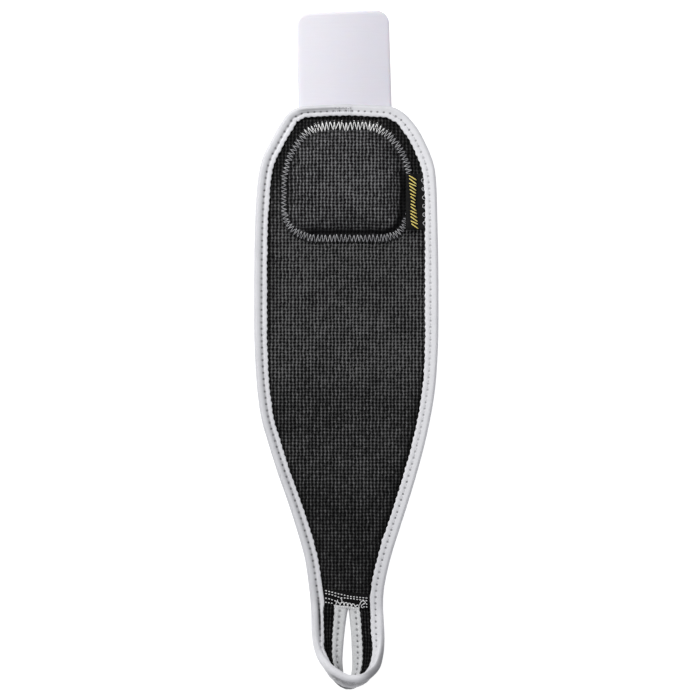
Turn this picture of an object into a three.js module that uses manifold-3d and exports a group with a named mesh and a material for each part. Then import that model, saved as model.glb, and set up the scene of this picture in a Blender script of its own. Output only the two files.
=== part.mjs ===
// A wrist guard for ball players, laid out flat with its skin side up: a tapered panel of black mesh laminate,
// bound all round with folded tape, a stuffed pad stitched on its wide end, a hook tab beyond the top edge, and
// a strap at the narrow end that turns up into a thumb loop round a bound slit.
// Millimetres. +X is to the right and +Y towards the hook tab as one looks down on the skin side, +Z is up, and
// the origin is on the surface it lies on, under the middle of its footprint.
import * as THREE from "three";
import { mergeVertices } from "three/addons/utils/BufferGeometryUtils.js";
import Module from "manifold-3d";

const wasm = await Module();
wasm.setup();

// The panel and its outline
const guardWidth = 92.2; // widest, from fold to fold of the binding
const topWidth = 47; // the nearly straight top edge
const topCrown = 1.4; // how far the middle of the top edge stands above its ends
const shoulderLength = 80; // from the top edge to the full width
const straightLength = 35; // the stretch at full width
const taperLength = 132; // from the full width down to the loop seam
const neckWidth = 36.5; // across the loop seam
const seamSlope = 0.128; // fall of the loop seam for each millimetre to the right
const panelThickness = 3.2; // mesh, foam and outer fabric together
const squeezedThickness = 2; // the laminate where the binding grips it

// The binding tape
const bindingWidth = 6.5; // from the fold to the raw edge, on both faces
const bindingWall = 0.8;
const foldDepth = 1.8; // the rounded part at the fold

// The thumb loop
const loopReach = 39.7; // from the seam to the rim at the tip, seen from above
const rimHeight = 14.4; // how far the rim at the tip stands above the slit's edge
const slitWidth = 5;
const strapBulge = 2.8; // how far the strap's section bows outwards at the tip
const seamTapeWidth = 6.2;
const seamTapeThickness = 0.6;
const seamTapeInset = 0.9; // from the outer bindings' raw edges
const slitBindingDrop = 0.7; // from the seam tape to the slit binding's ends

// The pad and its label
const padWidth = 64.5; // across the stitched cover
const padLength = 60.5;
const padDrop = 8; // from the panel's top edge down to the cover
const padShift = -0.6; // its middle, to the left of the panel's
const padHeight = 6; // the crown above the panel
const padFlange = 1; // the cover where it is stitched down
const padBorder = 4.6; // the flat border under the zigzag stitches
const labelWidth = 9.4;
const labelLength = 28;
const labelDrop = 34.6; // from the panel's top edge down to the label
const labelLap = 2.2; // its left edge on the pad's border
const labelThickness = 0.7;

// The hook tab
const tabWidth = 46.5;
const tabReach = 46.7; // beyond the panel's top edge
const tabSewn = 13; // under the panel
const tabBase = 0.9;
const hookHeight = 0.5; // the field of small hooks on it
const hookMargin = 1; // bare border round the hooks
const tabCorner = 6.5;
const tabLean = 1.8; // degrees, its free end to the left
const tabShift = -0.6; // where it leaves the panel, to the left of the middle

const clearance = 0.3; // between two pieces that lie on each other

const inset = foldDepth; // from the fold to the panel's own edge, clear of the round
const bindingHalf = squeezedThickness / 2 + clearance + bindingWall;
const gripWidth = bindingWidth + 1; // the squeezed border of the panel
const gripSlope = 0.9; // where it swells to its full thickness
const topY = 0;
const seamY = topY - shoulderLength - straightLength - taperLength;

// Half widths down each side of the guard. Between the top edge and the full width "out" runs from topWidth to
// guardWidth, and on the taper "out" runs from neckWidth to guardWidth.
const shoulderRows = [
  { down: 0.05, outLeft: 0.23, outRight: 0.22 },
  { down: 0.09, outLeft: 0.34, outRight: 0.37 },
  { down: 0.16, outLeft: 0.5, outRight: 0.56 },
  { down: 0.24, outLeft: 0.65, outRight: 0.71 },
  { down: 0.31, outLeft: 0.78, outRight: 0.82 },
  { down: 0.39, outLeft: 0.87, outRight: 0.91 },
  { down: 0.5, outLeft: 0.93, outRight: 0.955 },
  { down: 0.72, outLeft: 0.98, outRight: 0.98 },
  { down: 1, outLeft: 1, outRight: 1 },
];
const taperRows = [
  { down: 0, outLeft: 1, outRight: 1 },
  { down: 0.11, outLeft: 0.98, outRight: 0.98 },
  { down: 0.21, outLeft: 0.945, outRight: 0.94 },
  { down: 0.32, outLeft: 0.87, outRight: 0.855 },
  { down: 0.42, outLeft: 0.735, outRight: 0.75 },
  { down: 0.53, outLeft: 0.57, outRight: 0.61 },
  { down: 0.635, outLeft: 0.395, outRight: 0.46 },
  { down: 0.74, outLeft: 0.235, outRight: 0.3 },
  { down: 0.85, outLeft: 0.09, outRight: 0.14 },
  { down: 0.95, outLeft: 0.02, outRight: 0.035 },
];

// The strap of the thumb loop, from the right end of the seam round the tip to the left end. "rim" is the fold
// of the outer binding and "slit" the fold of the inner one. Across is a share of half the neck or half the
// slit, down a share of loopReach, up a share of rimHeight, and bow a share of strapBulge.
const loopRows = [
  { rimAcross: 1, rimDown: 0, rimUp: 0, slitAcross: 0.6, slitDown: 0, bow: 0 },
  { rimAcross: 1.015, rimDown: 0.1, rimUp: 0, slitAcross: 0.62, slitDown: 0.1, bow: 0 },
  { rimAcross: 1.03, rimDown: 0.23, rimUp: 0.1, slitAcross: 0.92, slitDown: 0.225, bow: 0.05 },
  { rimAcross: 1.04, rimDown: 0.49, rimUp: 0.3, slitAcross: 1.12, slitDown: 0.465, bow: 0.2 },
  { rimAcross: 0.985, rimDown: 0.69, rimUp: 0.5, slitAcross: 1.3, slitDown: 0.67, bow: 0.4 },
  { rimAcross: 0.86, rimDown: 0.855, rimUp: 0.75, slitAcross: 1.5, slitDown: 0.845, bow: 0.7 },
  { rimAcross: 0.54, rimDown: 0.965, rimUp: 0.93, slitAcross: 1.25, slitDown: 1, bow: 0.95 },
  { rimAcross: 0.08, rimDown: 0.99, rimUp: 1, slitAcross: 0.2, slitDown: 1.07, bow: 1 },
  { rimAcross: -0.35, rimDown: 0.925, rimUp: 0.94, slitAcross: -0.85, slitDown: 1, bow: 0.95 },
  { rimAcross: -0.655, rimDown: 0.8, rimUp: 0.77, slitAcross: -1.15, slitDown: 0.83, bow: 0.75 },
  { rimAcross: -0.83, rimDown: 0.66, rimUp: 0.55, slitAcross: -0.95, slitDown: 0.65, bow: 0.5 },
  { rimAcross: -0.925, rimDown: 0.475, rimUp: 0.38, slitAcross: -0.7, slitDown: 0.46, bow: 0.25 },
  { rimAcross: -0.96, rimDown: 0.237, rimUp: 0.18, slitAcross: -0.08, slitDown: 0.22, bow: 0.1 },
  { rimAcross: -0.98, rimDown: 0.11, rimUp: 0.03, slitAcross: 0.38, slitDown: 0.105, bow: 0 },
  { rimAcross: -1, rimDown: 0, rimUp: 0, slitAcross: 0.42, slitDown: 0, bow: 0 },
];

const smooth = (x) => THREE.MathUtils.smoothstep(x, 0, 1);

// The sewn end of the tab lies under the panel and lifts it there.
const liftSpread = 20; // how far from the tab the lift dies away
const liftMargin = 1.6; // kept level round the tab
function lift(x, y) {
  const aside = Math.max(0, Math.abs(x) - tabWidth / 2 - liftMargin);
  const below = Math.max(0, topY - tabSewn - liftMargin - y);
  return (tabBase + clearance) * (1 - smooth(aside / liftSpread)) * (1 - smooth(below / liftSpread));
}

// A closed solid through rings of points, each made of a row across and the same row back on the other face.
// An open loft is closed at both ends with strips between the two rows.
function loft(rings, closed = false) {
  const size = rings[0].length;
  const positions = rings.flat().flatMap((p) => [p.x, p.y, p.z]);
  const faces = [];
  const steps = closed ? rings.length : rings.length - 1;
  for (let k = 0; k < steps; k++) {
    const here = k * size;
    const next = ((k + 1) % rings.length) * size;
    for (let i = 0; i < size; i++) {
      const j = (i + 1) % size;
      faces.push(here + i, here + j, next + j, here + i, next + j, next + i);
    }
  }
  if (!closed) {
    const last = (rings.length - 1) * size;
    for (let i = 0; i < size / 2 - 1; i++) {
      const j = size - 1 - i;
      faces.push(i, j, i + 1, i + 1, j, j - 1);
      faces.push(last + i, last + i + 1, last + j, last + i + 1, last + j - 1, last + j);
    }
  }
  return closedSolid(positions, faces);
}

function closedSolid(positions, faces) {
  const solid = new THREE.BufferGeometry();
  solid.setAttribute("position", new THREE.Float32BufferAttribute(positions, 3));
  solid.setIndex(faces);
  return facingOut(solid);
}

// Turns the faces of a closed solid round if they point inwards.
function facingOut(solid) {
  const at = solid.getAttribute("position");
  const index = solid.index.array;
  const [a, b, c] = [new THREE.Vector3(), new THREE.Vector3(), new THREE.Vector3()];
  let volume = 0;
  for (let i = 0; i < index.length; i += 3) {
    a.fromBufferAttribute(at, index[i]);
    b.fromBufferAttribute(at, index[i + 1]);
    c.fromBufferAttribute(at, index[i + 2]);
    volume += a.dot(b.cross(c));
  }
  if (volume < 0) {
    for (let i = 0; i < index.length; i += 3) {
      [index[i + 1], index[i + 2]] = [index[i + 2], index[i + 1]];
    }
  }
  solid.computeVertexNormals();
  return solid;
}

// The outline of the guard: the fold of the outer binding, from the right end of the loop seam up over the top
// edge and down to the left end.
function outlineCurve() {
  const side = (key, sign) => [
    new THREE.Vector3((sign * topWidth) / 2, topY - topCrown, 0),
    ...shoulderRows.map(
      (row) =>
        new THREE.Vector3(
          sign * THREE.MathUtils.lerp(topWidth / 2, guardWidth / 2, row[key]),
          topY - row.down * shoulderLength,
          0,
        ),
    ),
    ...taperRows.map(
      (row) =>
        new THREE.Vector3(
          sign * THREE.MathUtils.lerp(neckWidth / 2, guardWidth / 2, row[key]),
          topY - shoulderLength - straightLength - row.down * taperLength,
          0,
        ),
    ),
    new THREE.Vector3((sign * neckWidth) / 2, seamLine((sign * neckWidth) / 2), 0),
  ];
  const quarter = (sign) => new THREE.Vector3((sign * topWidth) / 4, topY - topCrown / 4, 0);
  const points = [
    ...side("outRight", 1).reverse(),
    quarter(1),
    new THREE.Vector3(0, topY, 0),
    quarter(-1),
    ...side("outLeft", -1),
  ];
  return new THREE.CatmullRomCurve3(points, false, "centripetal");
}

function seamLine(x) {
  return seamY - seamSlope * x;
}

const outline = outlineCurve();

// A place on the bound edge of the panel: the tape's fold at a share of the outline, then "from" millimetres
// inwards and "up" from the middle of the thickness.
function panelEdge(share) {
  const fold = outline.getPointAt(share);
  const along = outline.getTangentAt(share);
  const inwards = new THREE.Vector3(-along.y, along.x, 0);
  return (from, up) => {
    const p = fold.clone().addScaledVector(inwards, from);
    p.z = bindingHalf + lift(p.x, p.y) + up;
    return p;
  };
}

// The strap's section at a share of the way round the loop. It returns the place "from" millimetres from the
// rim along the section and "up" on the skin side, and the section's length.
const loopCurve = (place) => new THREE.CatmullRomCurve3(loopRows.map(place), false, "centripetal");
const loopPoint = (x, down, z) => {
  return new THREE.Vector3(x, seamLine(x) * (1 - down) + (seamY - loopReach) * down, z);
};
const rimCurve = loopCurve((row) =>
  loopPoint((row.rimAcross * neckWidth) / 2, row.rimDown, bindingHalf + row.rimUp * rimHeight),
);
const slitCurve = loopCurve((row) =>
  loopPoint((row.slitAcross * slitWidth) / 2, row.slitDown, bindingHalf),
);
const bowAt = (share) => {
  const place = share * (loopRows.length - 1);
  const row = Math.min(Math.floor(place), loopRows.length - 2);
  return strapBulge * THREE.MathUtils.lerp(loopRows[row].bow, loopRows[row + 1].bow, place - row);
};
const sectionSteps = 24;
const tangentStep = 0.01;

function strapSection(share) {
  const rim = rimCurve.getPoint(share);
  const slit = slitCurve.getPoint(share);
  const ahead = Math.min(share + tangentStep, 1);
  const behind = Math.max(share - tangentStep, 0);
  const along = rimCurve.getPoint(ahead).add(slitCurve.getPoint(ahead));
  along.sub(rimCurve.getPoint(behind)).sub(slitCurve.getPoint(behind)).normalize();
  const chord = rim.clone().sub(slit);
  const skin = along.clone().cross(chord).normalize();
  const bow = bowAt(share);
  const at = (u) => slit.clone().addScaledVector(chord, u).addScaledVector(skin, -4 * bow * u * (1 - u));
  const lengths = [0];
  for (let i = 1; i <= sectionSteps; i++) {
    lengths.push(lengths[i - 1] + at(i / sectionSteps).distanceTo(at((i - 1) / sectionSteps)));
  }
  const length = lengths[sectionSteps];
  const place = (from, up) => {
    const want = length - from;
    let i = 1;
    while (i < sectionSteps && lengths[i] < want) i++;
    const u = (i - 1 + (want - lengths[i - 1]) / (lengths[i] - lengths[i - 1])) / sectionSteps;
    const slope = chord.clone().addScaledVector(skin, -4 * bow * (1 - 2 * u));
    const normal = along.clone().cross(slope).normalize();
    return at(u).addScaledVector(normal, up);
  };
  return { place, length };
}

// The folded tape's section: "from" the fold inwards, "up" from the middle of the thickness.
function tapeSection() {
  const outer = [];
  const inner = [];
  const arcSteps = 4;
  const legMiddle = (bindingWidth + foldDepth) / 2;
  for (let i = 0; i <= arcSteps; i++) {
    const turn = (Math.PI * i) / arcSteps;
    const out = Math.sin(turn);
    outer.push(new THREE.Vector2(foldDepth * (1 - out), bindingHalf * Math.cos(turn)));
    inner.push(new THREE.Vector2(
      bindingWall + (foldDepth - bindingWall) * (1 - out),
      (bindingHalf - bindingWall) * Math.cos(turn),
    ));
  }
  const leg = (up) => [new THREE.Vector2(bindingWidth, up), new THREE.Vector2(legMiddle, up)];
  const innerHalf = bindingHalf - bindingWall;
  return [
    ...leg(bindingHalf),
    ...outer,
    ...leg(-bindingHalf).reverse(),
    ...leg(-innerHalf),
    ...inner.reverse(),
    ...leg(innerHalf).reverse(),
  ];
}

function fabric(colour, roughness) {
  return new THREE.MeshStandardMaterial({ color: colour, roughness, metalness: 0 });
}

function piece(name, solid, material) {
  const mesh = new THREE.Mesh(solid, material);
  mesh.name = name;
  return mesh;
}

// The outer binding, one tape round the panel and along the rim of the loop
const panelStations = 76;
const loopStations = 36;
const seamSkip = 0.006; // keeps the panel's stations off the loop's end stations

function edgeBinding() {
  const section = tapeSection();
  const rings = [];
  for (let i = 0; i < panelStations; i++) {
    const place = panelEdge(THREE.MathUtils.lerp(seamSkip, 1 - seamSkip, i / (panelStations - 1)));
    rings.push(section.map((p) => place(p.x, p.y)));
  }
  for (let i = loopStations; i >= 0; i--) {
    const { place } = strapSection(i / loopStations);
    rings.push(section.map((p) => place(p.x, p.y)));
  }
  return loft(rings, true);
}

// The stations round the loop for a piece that starts a little way in and ends as far from the other end
function loopShares(start) {
  const shares = [start];
  const leastStep = 0.1 / loopStations;
  for (let i = 1; i < loopStations; i++) {
    const share = i / loopStations;
    if (share > start + leastStep && share < 1 - start - leastStep) shares.push(share);
  }
  return [...shares, 1 - start];
}

// The inner binding, up both sides of the slit to just below the seam tape
function slitBinding() {
  const section = tapeSection();
  const down = (seamTapeWidth / 2 + slitBindingDrop) / loopReach;
  const start = down / (loopRows[1].slitDown * (loopRows.length - 1));
  const rings = loopShares(start).map((share) => {
    const { place, length } = strapSection(share);
    return section.map((p) => place(length - p.x, p.y));
  });
  return loft(rings);
}

// The strap itself: a band of the laminate, gripped by both bindings
function thumbStrap() {
  const acrossSteps = 6;
  const start = clearance / 2 / loopReach;
  const half = squeezedThickness / 2;
  const rings = loopShares(start).map((share) => {
    const { place, length } = strapSection(share);
    const row = (up) => {
      const spots = [];
      for (let k = 0; k <= acrossSteps; k++) {
        spots.push(place(THREE.MathUtils.lerp(inset, length - inset, k / acrossSteps), up));
      }
      return spots;
    };
    return [...row(half), ...row(-half).reverse()];
  });
  return loft(rings);
}

// How far out the outline lies at a height, after moving it inwards. The sides are read as broken lines.
const sideSamples = 400;
function sideReader(inwardsBy) {
  const line = [];
  for (let i = 0; i <= sideSamples; i++) {
    line.push(panelEdge(i / sideSamples)(inwardsBy, 0));
  }
  const tip = line.reduce((best, p, i) => (p.y > line[best].y ? i : best), 0);
  const right = line.slice(0, tip + 1);
  const left = line.slice(tip).reverse();
  const read = (side, y) => {
    let i = 1;
    while (i < side.length - 1 && side[i].y < y) i++;
    const share = (y - side[i - 1].y) / (side[i].y - side[i - 1].y);
    return THREE.MathUtils.lerp(side[i - 1].x, side[i].x, share);
  };
  return (sign, y) => read(sign > 0 ? right : left, y);
}

// The panel: rows across it from the top edge to the loop seam, with a squeezed border under the binding
function meshPanel() {
  const edgeAt = sideReader(inset);
  const gripAt = sideReader(gripWidth);
  const swollenAt = sideReader(gripWidth + gripSlope);
  const acrossSteps = 10;
  const crownFade = 40; // where the rows have become straight
  const tiltStart = seamY + 25; // where the rows start to follow the seam
  const firstRow = topY - topCrown;
  const heights = [firstRow - inset, firstRow - gripWidth, firstRow - gripWidth - 2 * gripSlope];
  // Both keep the swelling of the first rows off the binding's corners.
  const gripShare = 0.78;
  const cornerShare = 0.88;
  const upperRows = 9;
  const lowerRows = 20;
  const liftEnd = topY - tabSewn - liftMargin - liftSpread;
  const bottom = seamY + clearance / 2;
  for (let i = 1; i <= upperRows; i++) {
    heights.push(THREE.MathUtils.lerp(heights[2], liftEnd, i / upperRows));
  }
  for (let i = 1; i <= lowerRows; i++) {
    heights.push(THREE.MathUtils.lerp(liftEnd, bottom, i / lowerRows));
  }
  const rings = heights.map((height, row) => {
    const crown = topCrown * (1 - smooth((firstRow - height) / crownFade));
    const tilt = seamSlope * smooth((tiltStart - height) / (tiltStart - bottom));
    const slack = 0.05; // keeps a row that meets an inset's own top inside it
    const outAt = (reader, sign) => {
      let x = reader(sign, height - slack);
      x = reader(sign, height - slack - tilt * x);
      return x;
    };
    const columns = [];
    for (const sign of [-1, 1]) {
      const edge = outAt(edgeAt, sign);
      const grip = row < 2 ? edge * gripShare : outAt(gripAt, sign);
      const swollen = row < 3 ? grip * cornerShare : outAt(swollenAt, sign);
      const outer = [{ x: edge, thin: true }, { x: grip, thin: true }, { x: swollen, thin: row < 2 }];
      columns.push(outer);
    }
    const [left, right] = columns;
    const middle = [];
    for (let i = 1; i < acrossSteps; i++) {
      middle.push({ x: THREE.MathUtils.lerp(left[2].x, right[2].x, i / acrossSteps), thin: row < 2 });
    }
    const across = [...left, ...middle, ...right.reverse()];
    const place = ({ x, thin }, top) => {
      const y = height + crown * Math.max(0, 1 - (x / (topWidth / 2)) ** 2) - tilt * x;
      const full = top ? panelThickness : 0;
      const squeezed = bindingHalf + (top ? 1 : -1) * (squeezedThickness / 2);
      return new THREE.Vector3(x, y, (thin ? squeezed : full) + lift(x, y));
    };
    return [...across.map((c) => place(c, true)), ...across.reverse().map((c) => place(c, false))];
  });
  return loft(rings);
}

// The panel's upper face away from its squeezed border, which the pad and the label follow
function panelTop(x, y) {
  return panelThickness + lift(x, y);
}

// The smooth tape over the joint of the panel and the strap, between the outer bindings
function seamTape() {
  const half = neckWidth / 2 - bindingWidth - seamTapeInset;
  const bottom = panelThickness + clearance;
  const rings = [-1, 1].map((end) => {
    const x = end * half;
    const corner = (side, z) => new THREE.Vector3(x, seamLine(x) + (side * seamTapeWidth) / 2, z);
    const top = bottom + seamTapeThickness;
    return [corner(1, top), corner(-1, top), corner(-1, bottom), corner(1, bottom)];
  });
  return loft(rings);
}

// The cover's outline, from the middle of its top edge clockwise: across in shares of half the pad's width,
// down in shares of its length. The rounded lower corners and slanted upper ones are cut differently.
const padRows = [
  { across: 0, down: 0 },
  { across: 0.3, down: 0 },
  { across: 0.62, down: 0.01 },
  { across: 0.73, down: 0.07 },
  { across: 0.85, down: 0.17 },
  { across: 0.955, down: 0.29 },
  { across: 0.99, down: 0.4 },
  { across: 1, down: 0.57 },
  { across: 0.99, down: 0.78 },
  { across: 0.95, down: 0.87 },
  { across: 0.82, down: 0.95 },
  { across: 0.68, down: 0.99 },
  { across: 0.34, down: 1 },
  { across: 0, down: 1 },
  { across: -0.33, down: 1 },
  { across: -0.62, down: 0.995 },
  { across: -0.8, down: 0.95 },
  { across: -0.93, down: 0.86 },
  { across: -0.985, down: 0.77 },
  { across: -1, down: 0.57 },
  { across: -0.985, down: 0.38 },
  { across: -0.91, down: 0.24 },
  { across: -0.79, down: 0.11 },
  { across: -0.64, down: 0.01 },
  { across: -0.3, down: 0 },
];
// The stuffed crown: how high it stands, as a share of its height over the flange, at shares of the way from
// the stitched border to the middle
const crownRows = [
  { inwards: 0, up: 0 },
  { inwards: 0.05, up: 0.4 },
  { inwards: 0.14, up: 0.68 },
  { inwards: 0.3, up: 0.87 },
  { inwards: 0.6, up: 0.97 },
];

// The pad: rings from its outline to its middle, on top and back underneath
function pad() {
  const spots = 52;
  const centreY = topY - padDrop - padLength / 2;
  const edge = new THREE.CatmullRomCurve3(
    padRows.map((row) => {
      return new THREE.Vector3((row.across * padWidth) / 2, topY - padDrop - row.down * padLength, 0);
    }),
    true,
    "centripetal",
  ).getSpacedPoints(spots);
  edge.pop();
  const ring = (inwards, up) =>
    edge.map((spot) => {
      const reach = Math.hypot(spot.x, spot.y - centreY);
      const share = 1 - inwards(reach) / reach;
      const [x, y] = [padShift + spot.x * share, centreY + (spot.y - centreY) * share];
      return new THREE.Vector3(x, y, panelTop(x, y) + clearance + up);
    });
  const rings = [ring(() => 0, 0), ring(() => 0, padFlange)];
  for (const row of crownRows) {
    const inwards = (reach) => padBorder + row.inwards * (reach - padBorder);
    rings.push(ring(inwards, padFlange + row.up * (padHeight - padFlange)));
  }
  const middle = (up) => {
    return new THREE.Vector3(padShift, centreY, panelTop(padShift, centreY) + clearance + up);
  };
  const underneath = [0.65, 0.3].map((share) => ring((reach) => (1 - share) * reach, 0));
  return dome([...underneath.reverse(), ...rings], middle(0), middle(padHeight));
}

// A closed solid through rings that go round a first and a last point
function dome(rings, first, last) {
  const size = rings[0].length;
  const positions = [...rings.flat(), first, last].flatMap((p) => [p.x, p.y, p.z]);
  const faces = [];
  const [start, end] = [rings.length * size, rings.length * size + 1];
  for (let i = 0; i < size; i++) {
    const j = (i + 1) % size;
    faces.push(start, j, i);
    for (let k = 0; k < rings.length - 1; k++) {
      faces.push(k * size + i, k * size + j, (k + 1) * size + j);
      faces.push(k * size + i, (k + 1) * size + j, (k + 1) * size + i);
    }
    faces.push((rings.length - 1) * size + i, (rings.length - 1) * size + j, end);
  }
  return closedSolid(positions, faces);
}

// The woven label, its left edge on the pad's border and its right edge beside the binding
function label() {
  const besideBinding = sideReader(bindingWidth + clearance);
  const onPad = padShift + padWidth / 2 + clearance;
  const left = onPad - labelLap;
  const upper = panelThickness + padFlange + 2 * clearance;
  const lower = panelThickness + clearance;
  const steps = 4;
  const rings = [];
  for (let i = 0; i <= steps; i++) {
    const y = topY - labelDrop - (labelLength * i) / steps;
    const right = Math.min(left + labelWidth, besideBinding(1, y));
    const row = (raise) => [
      new THREE.Vector3(left, y, upper + raise),
      new THREE.Vector3(onPad, y, upper + raise),
      new THREE.Vector3(right, y, lower + raise),
    ];
    rings.push([...row(labelThickness), ...row(0).reverse()]);
  }
  return loft(rings);
}

// The hook tab: a strip with round corners at its free end, and the raised field of hooks on its free part
function hookTab() {
  const strip = (margin, near, thickness) => {
    const half = tabWidth / 2 - margin;
    const far = tabReach - margin;
    const corner = tabCorner - margin;
    const shape = new THREE.Shape();
    shape.moveTo(-half, near);
    shape.lineTo(half, near);
    shape.lineTo(half, far - corner);
    shape.absarc(half - corner, far - corner, corner, 0, Math.PI / 2, false);
    shape.lineTo(corner - half, far);
    shape.absarc(corner - half, far - corner, corner, Math.PI / 2, Math.PI, false);
    shape.closePath();
    return new THREE.ExtrudeGeometry(shape, { depth: thickness, bevelEnabled: false, curveSegments: 8 });
  };
  const base = strip(0, -tabSewn, tabBase);
  const hooks = strip(hookMargin, hookMargin, tabBase / 2 + hookHeight);
  hooks.translate(0, 0, tabBase / 2);
  return joined(base, hooks);
}

function toManifold(solid) {
  const bare = new THREE.BufferGeometry();
  bare.setAttribute("position", solid.getAttribute("position"));
  if (solid.index) bare.setIndex(solid.index);
  const merged = mergeVertices(bare, 1e-4);
  return new wasm.Manifold(
    new wasm.Mesh({
      numProp: 3,
      vertProperties: new Float32Array(merged.getAttribute("position").array),
      triVerts: new Uint32Array(merged.index.array),
    }),
  );
}

function joined(first, second) {
  const mesh = toManifold(first).add(toManifold(second)).getMesh();
  return closedSolid([...mesh.vertProperties], [...mesh.triVerts]);
}

const black = fabric(0x2c2c2c, 0.85);
const white = fabric(0xdddde0, 0.65);
const guard = new THREE.Group();
guard.add(
  piece("mesh_panel", meshPanel(), black),
  piece("edge_binding", edgeBinding(), white),
  piece("thumb_strap", thumbStrap(), black),
  piece("slit_binding", slitBinding(), fabric(0xb4b5b8, 0.65)),
  piece("seam_tape", seamTape(), fabric(0x1b1b1c, 0.5)),
  piece("pad", pad(), fabric(0x3a3a3a, 0.85)),
  piece("label", label(), fabric(0x1a1a18, 0.5)),
);
const tab = piece("hook_tab", hookTab(), fabric(0xdfdfe7, 0.5));
tab.rotation.z = THREE.MathUtils.degToRad(tabLean);
tab.position.x = tabShift;
guard.add(tab);

// The origin goes under the middle of the whole.
guard.updateMatrixWorld(true);
const bounds = new THREE.Box3().setFromObject(guard, true);
const centre = bounds.getCenter(new THREE.Vector3());
guard.position.set(-centre.x, -centre.y, -bounds.min.z);

export default guard;
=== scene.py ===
import math

import bmesh
import bpy
import numpy as np
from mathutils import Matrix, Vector


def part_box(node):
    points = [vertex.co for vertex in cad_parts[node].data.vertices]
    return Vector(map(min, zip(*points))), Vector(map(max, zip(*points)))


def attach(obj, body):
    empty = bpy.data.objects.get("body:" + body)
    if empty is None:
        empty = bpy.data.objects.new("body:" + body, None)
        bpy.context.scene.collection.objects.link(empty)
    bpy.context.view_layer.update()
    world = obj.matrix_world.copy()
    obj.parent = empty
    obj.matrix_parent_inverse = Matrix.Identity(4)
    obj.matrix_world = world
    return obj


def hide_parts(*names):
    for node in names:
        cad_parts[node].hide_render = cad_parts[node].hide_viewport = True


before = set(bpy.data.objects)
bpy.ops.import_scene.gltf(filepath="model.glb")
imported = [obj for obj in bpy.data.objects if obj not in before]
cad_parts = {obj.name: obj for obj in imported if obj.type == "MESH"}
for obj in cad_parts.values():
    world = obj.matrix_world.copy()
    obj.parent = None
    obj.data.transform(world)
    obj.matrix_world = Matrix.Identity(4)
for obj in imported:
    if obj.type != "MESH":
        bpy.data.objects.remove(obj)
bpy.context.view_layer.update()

# The studio: the guard lies flat on a white sheet, skin side up, and the camera looks straight down on it
# from two metres. A soft window light stands beyond the tab, a little to the left, and the walls are white.
film_width = 36
view_width = 0.350
camera_height = 2.0
guard_face = 0.003
middle_of_view = Vector((0.001875, 0.0001, 0))

camera_data = bpy.data.cameras.new("camera")
camera_data.sensor_width = film_width
camera_data.lens = film_width * camera_height / view_width
camera_data.clip_end = 20
camera = bpy.data.objects.new("camera", camera_data)
camera.location = middle_of_view + Vector((0, 0, guard_face + camera_height))
scene = bpy.context.scene
scene.collection.objects.link(camera)
scene.camera = camera
scene.view_settings.view_transform = "Standard"


def hang_light(name, spot, target, size, power, colour):
    data = bpy.data.lights.new(name, "AREA")
    data.shape = "SQUARE"
    data.size = size
    data.energy = power
    data.color = colour
    light = bpy.data.objects.new(name, data)
    light.location = spot
    light.rotation_euler = (Vector(target) - Vector(spot)).to_track_quat("-Z", "Y").to_euler()
    scene.collection.objects.link(light)


hang_light("window", (-0.42, 0.56, 0.62), (0, 0.02, 0), size=0.40, power=7.2, colour=(1.0, 0.995, 0.985))
hang_light("far_wall", (0.75, -0.25, 0.9), (0, 0, 0), size=0.9, power=1.0, colour=(0.97, 0.98, 1.0))

room = bpy.data.worlds.new("room")
scene.world = room
room.use_nodes = True
room.node_tree.nodes["Background"].inputs["Color"].default_value = (0.97, 0.98, 1.0, 1)
room.node_tree.nodes["Background"].inputs["Strength"].default_value = 0.36


def paint(red, green, blue):
    """A colour as it is mixed on a screen, 0 to 255, for a shader's socket."""
    linear = []
    for part in (red, green, blue):
        part = part / 255
        linear.append(part / 12.92 if part <= 0.04045 else ((part + 0.055) / 1.055) ** 2.4)
    return (*linear, 1)


class Value:
    """A socket of a finish's nodes, for sums in plain Python."""

    def __init__(self, finish, socket):
        self.finish = finish
        self.socket = socket

    def sum(self, operation, *numbers):
        return self.finish.node("ShaderNodeMath", {"operation": operation}, dict(enumerate(numbers)))

    def __add__(self, other):
        return self.sum("ADD", self, other)

    def __radd__(self, other):
        return self.sum("ADD", other, self)

    def __sub__(self, other):
        return self.sum("SUBTRACT", self, other)

    def __rsub__(self, other):
        return self.sum("SUBTRACT", other, self)

    def __mul__(self, other):
        return self.sum("MULTIPLY", self, other)

    def __rmul__(self, other):
        return self.sum("MULTIPLY", other, self)

    def __abs__(self):
        return self.sum("ABSOLUTE", self)

    def part(self):
        """What is left over the whole number below."""
        return self.sum("FRACT", self)

    def wave(self):
        """A wave from 0 to 1 and back, once for each whole number."""
        return self.sum("COSINE", self * (2 * math.pi)) * -0.5 + 0.5

    def step(self, low, high):
        """0 below low, 1 above high, and smooth between; low may be the greater."""
        rising = {"interpolation_type": "SMOOTHSTEP"}
        if low < high:
            return self.finish.node("ShaderNodeMapRange", rising, {0: self, 1: low, 2: high, 3: 0, 4: 1})
        return self.finish.node("ShaderNodeMapRange", rising, {0: self, 1: high, 2: low, 3: 1, 4: 0})


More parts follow.
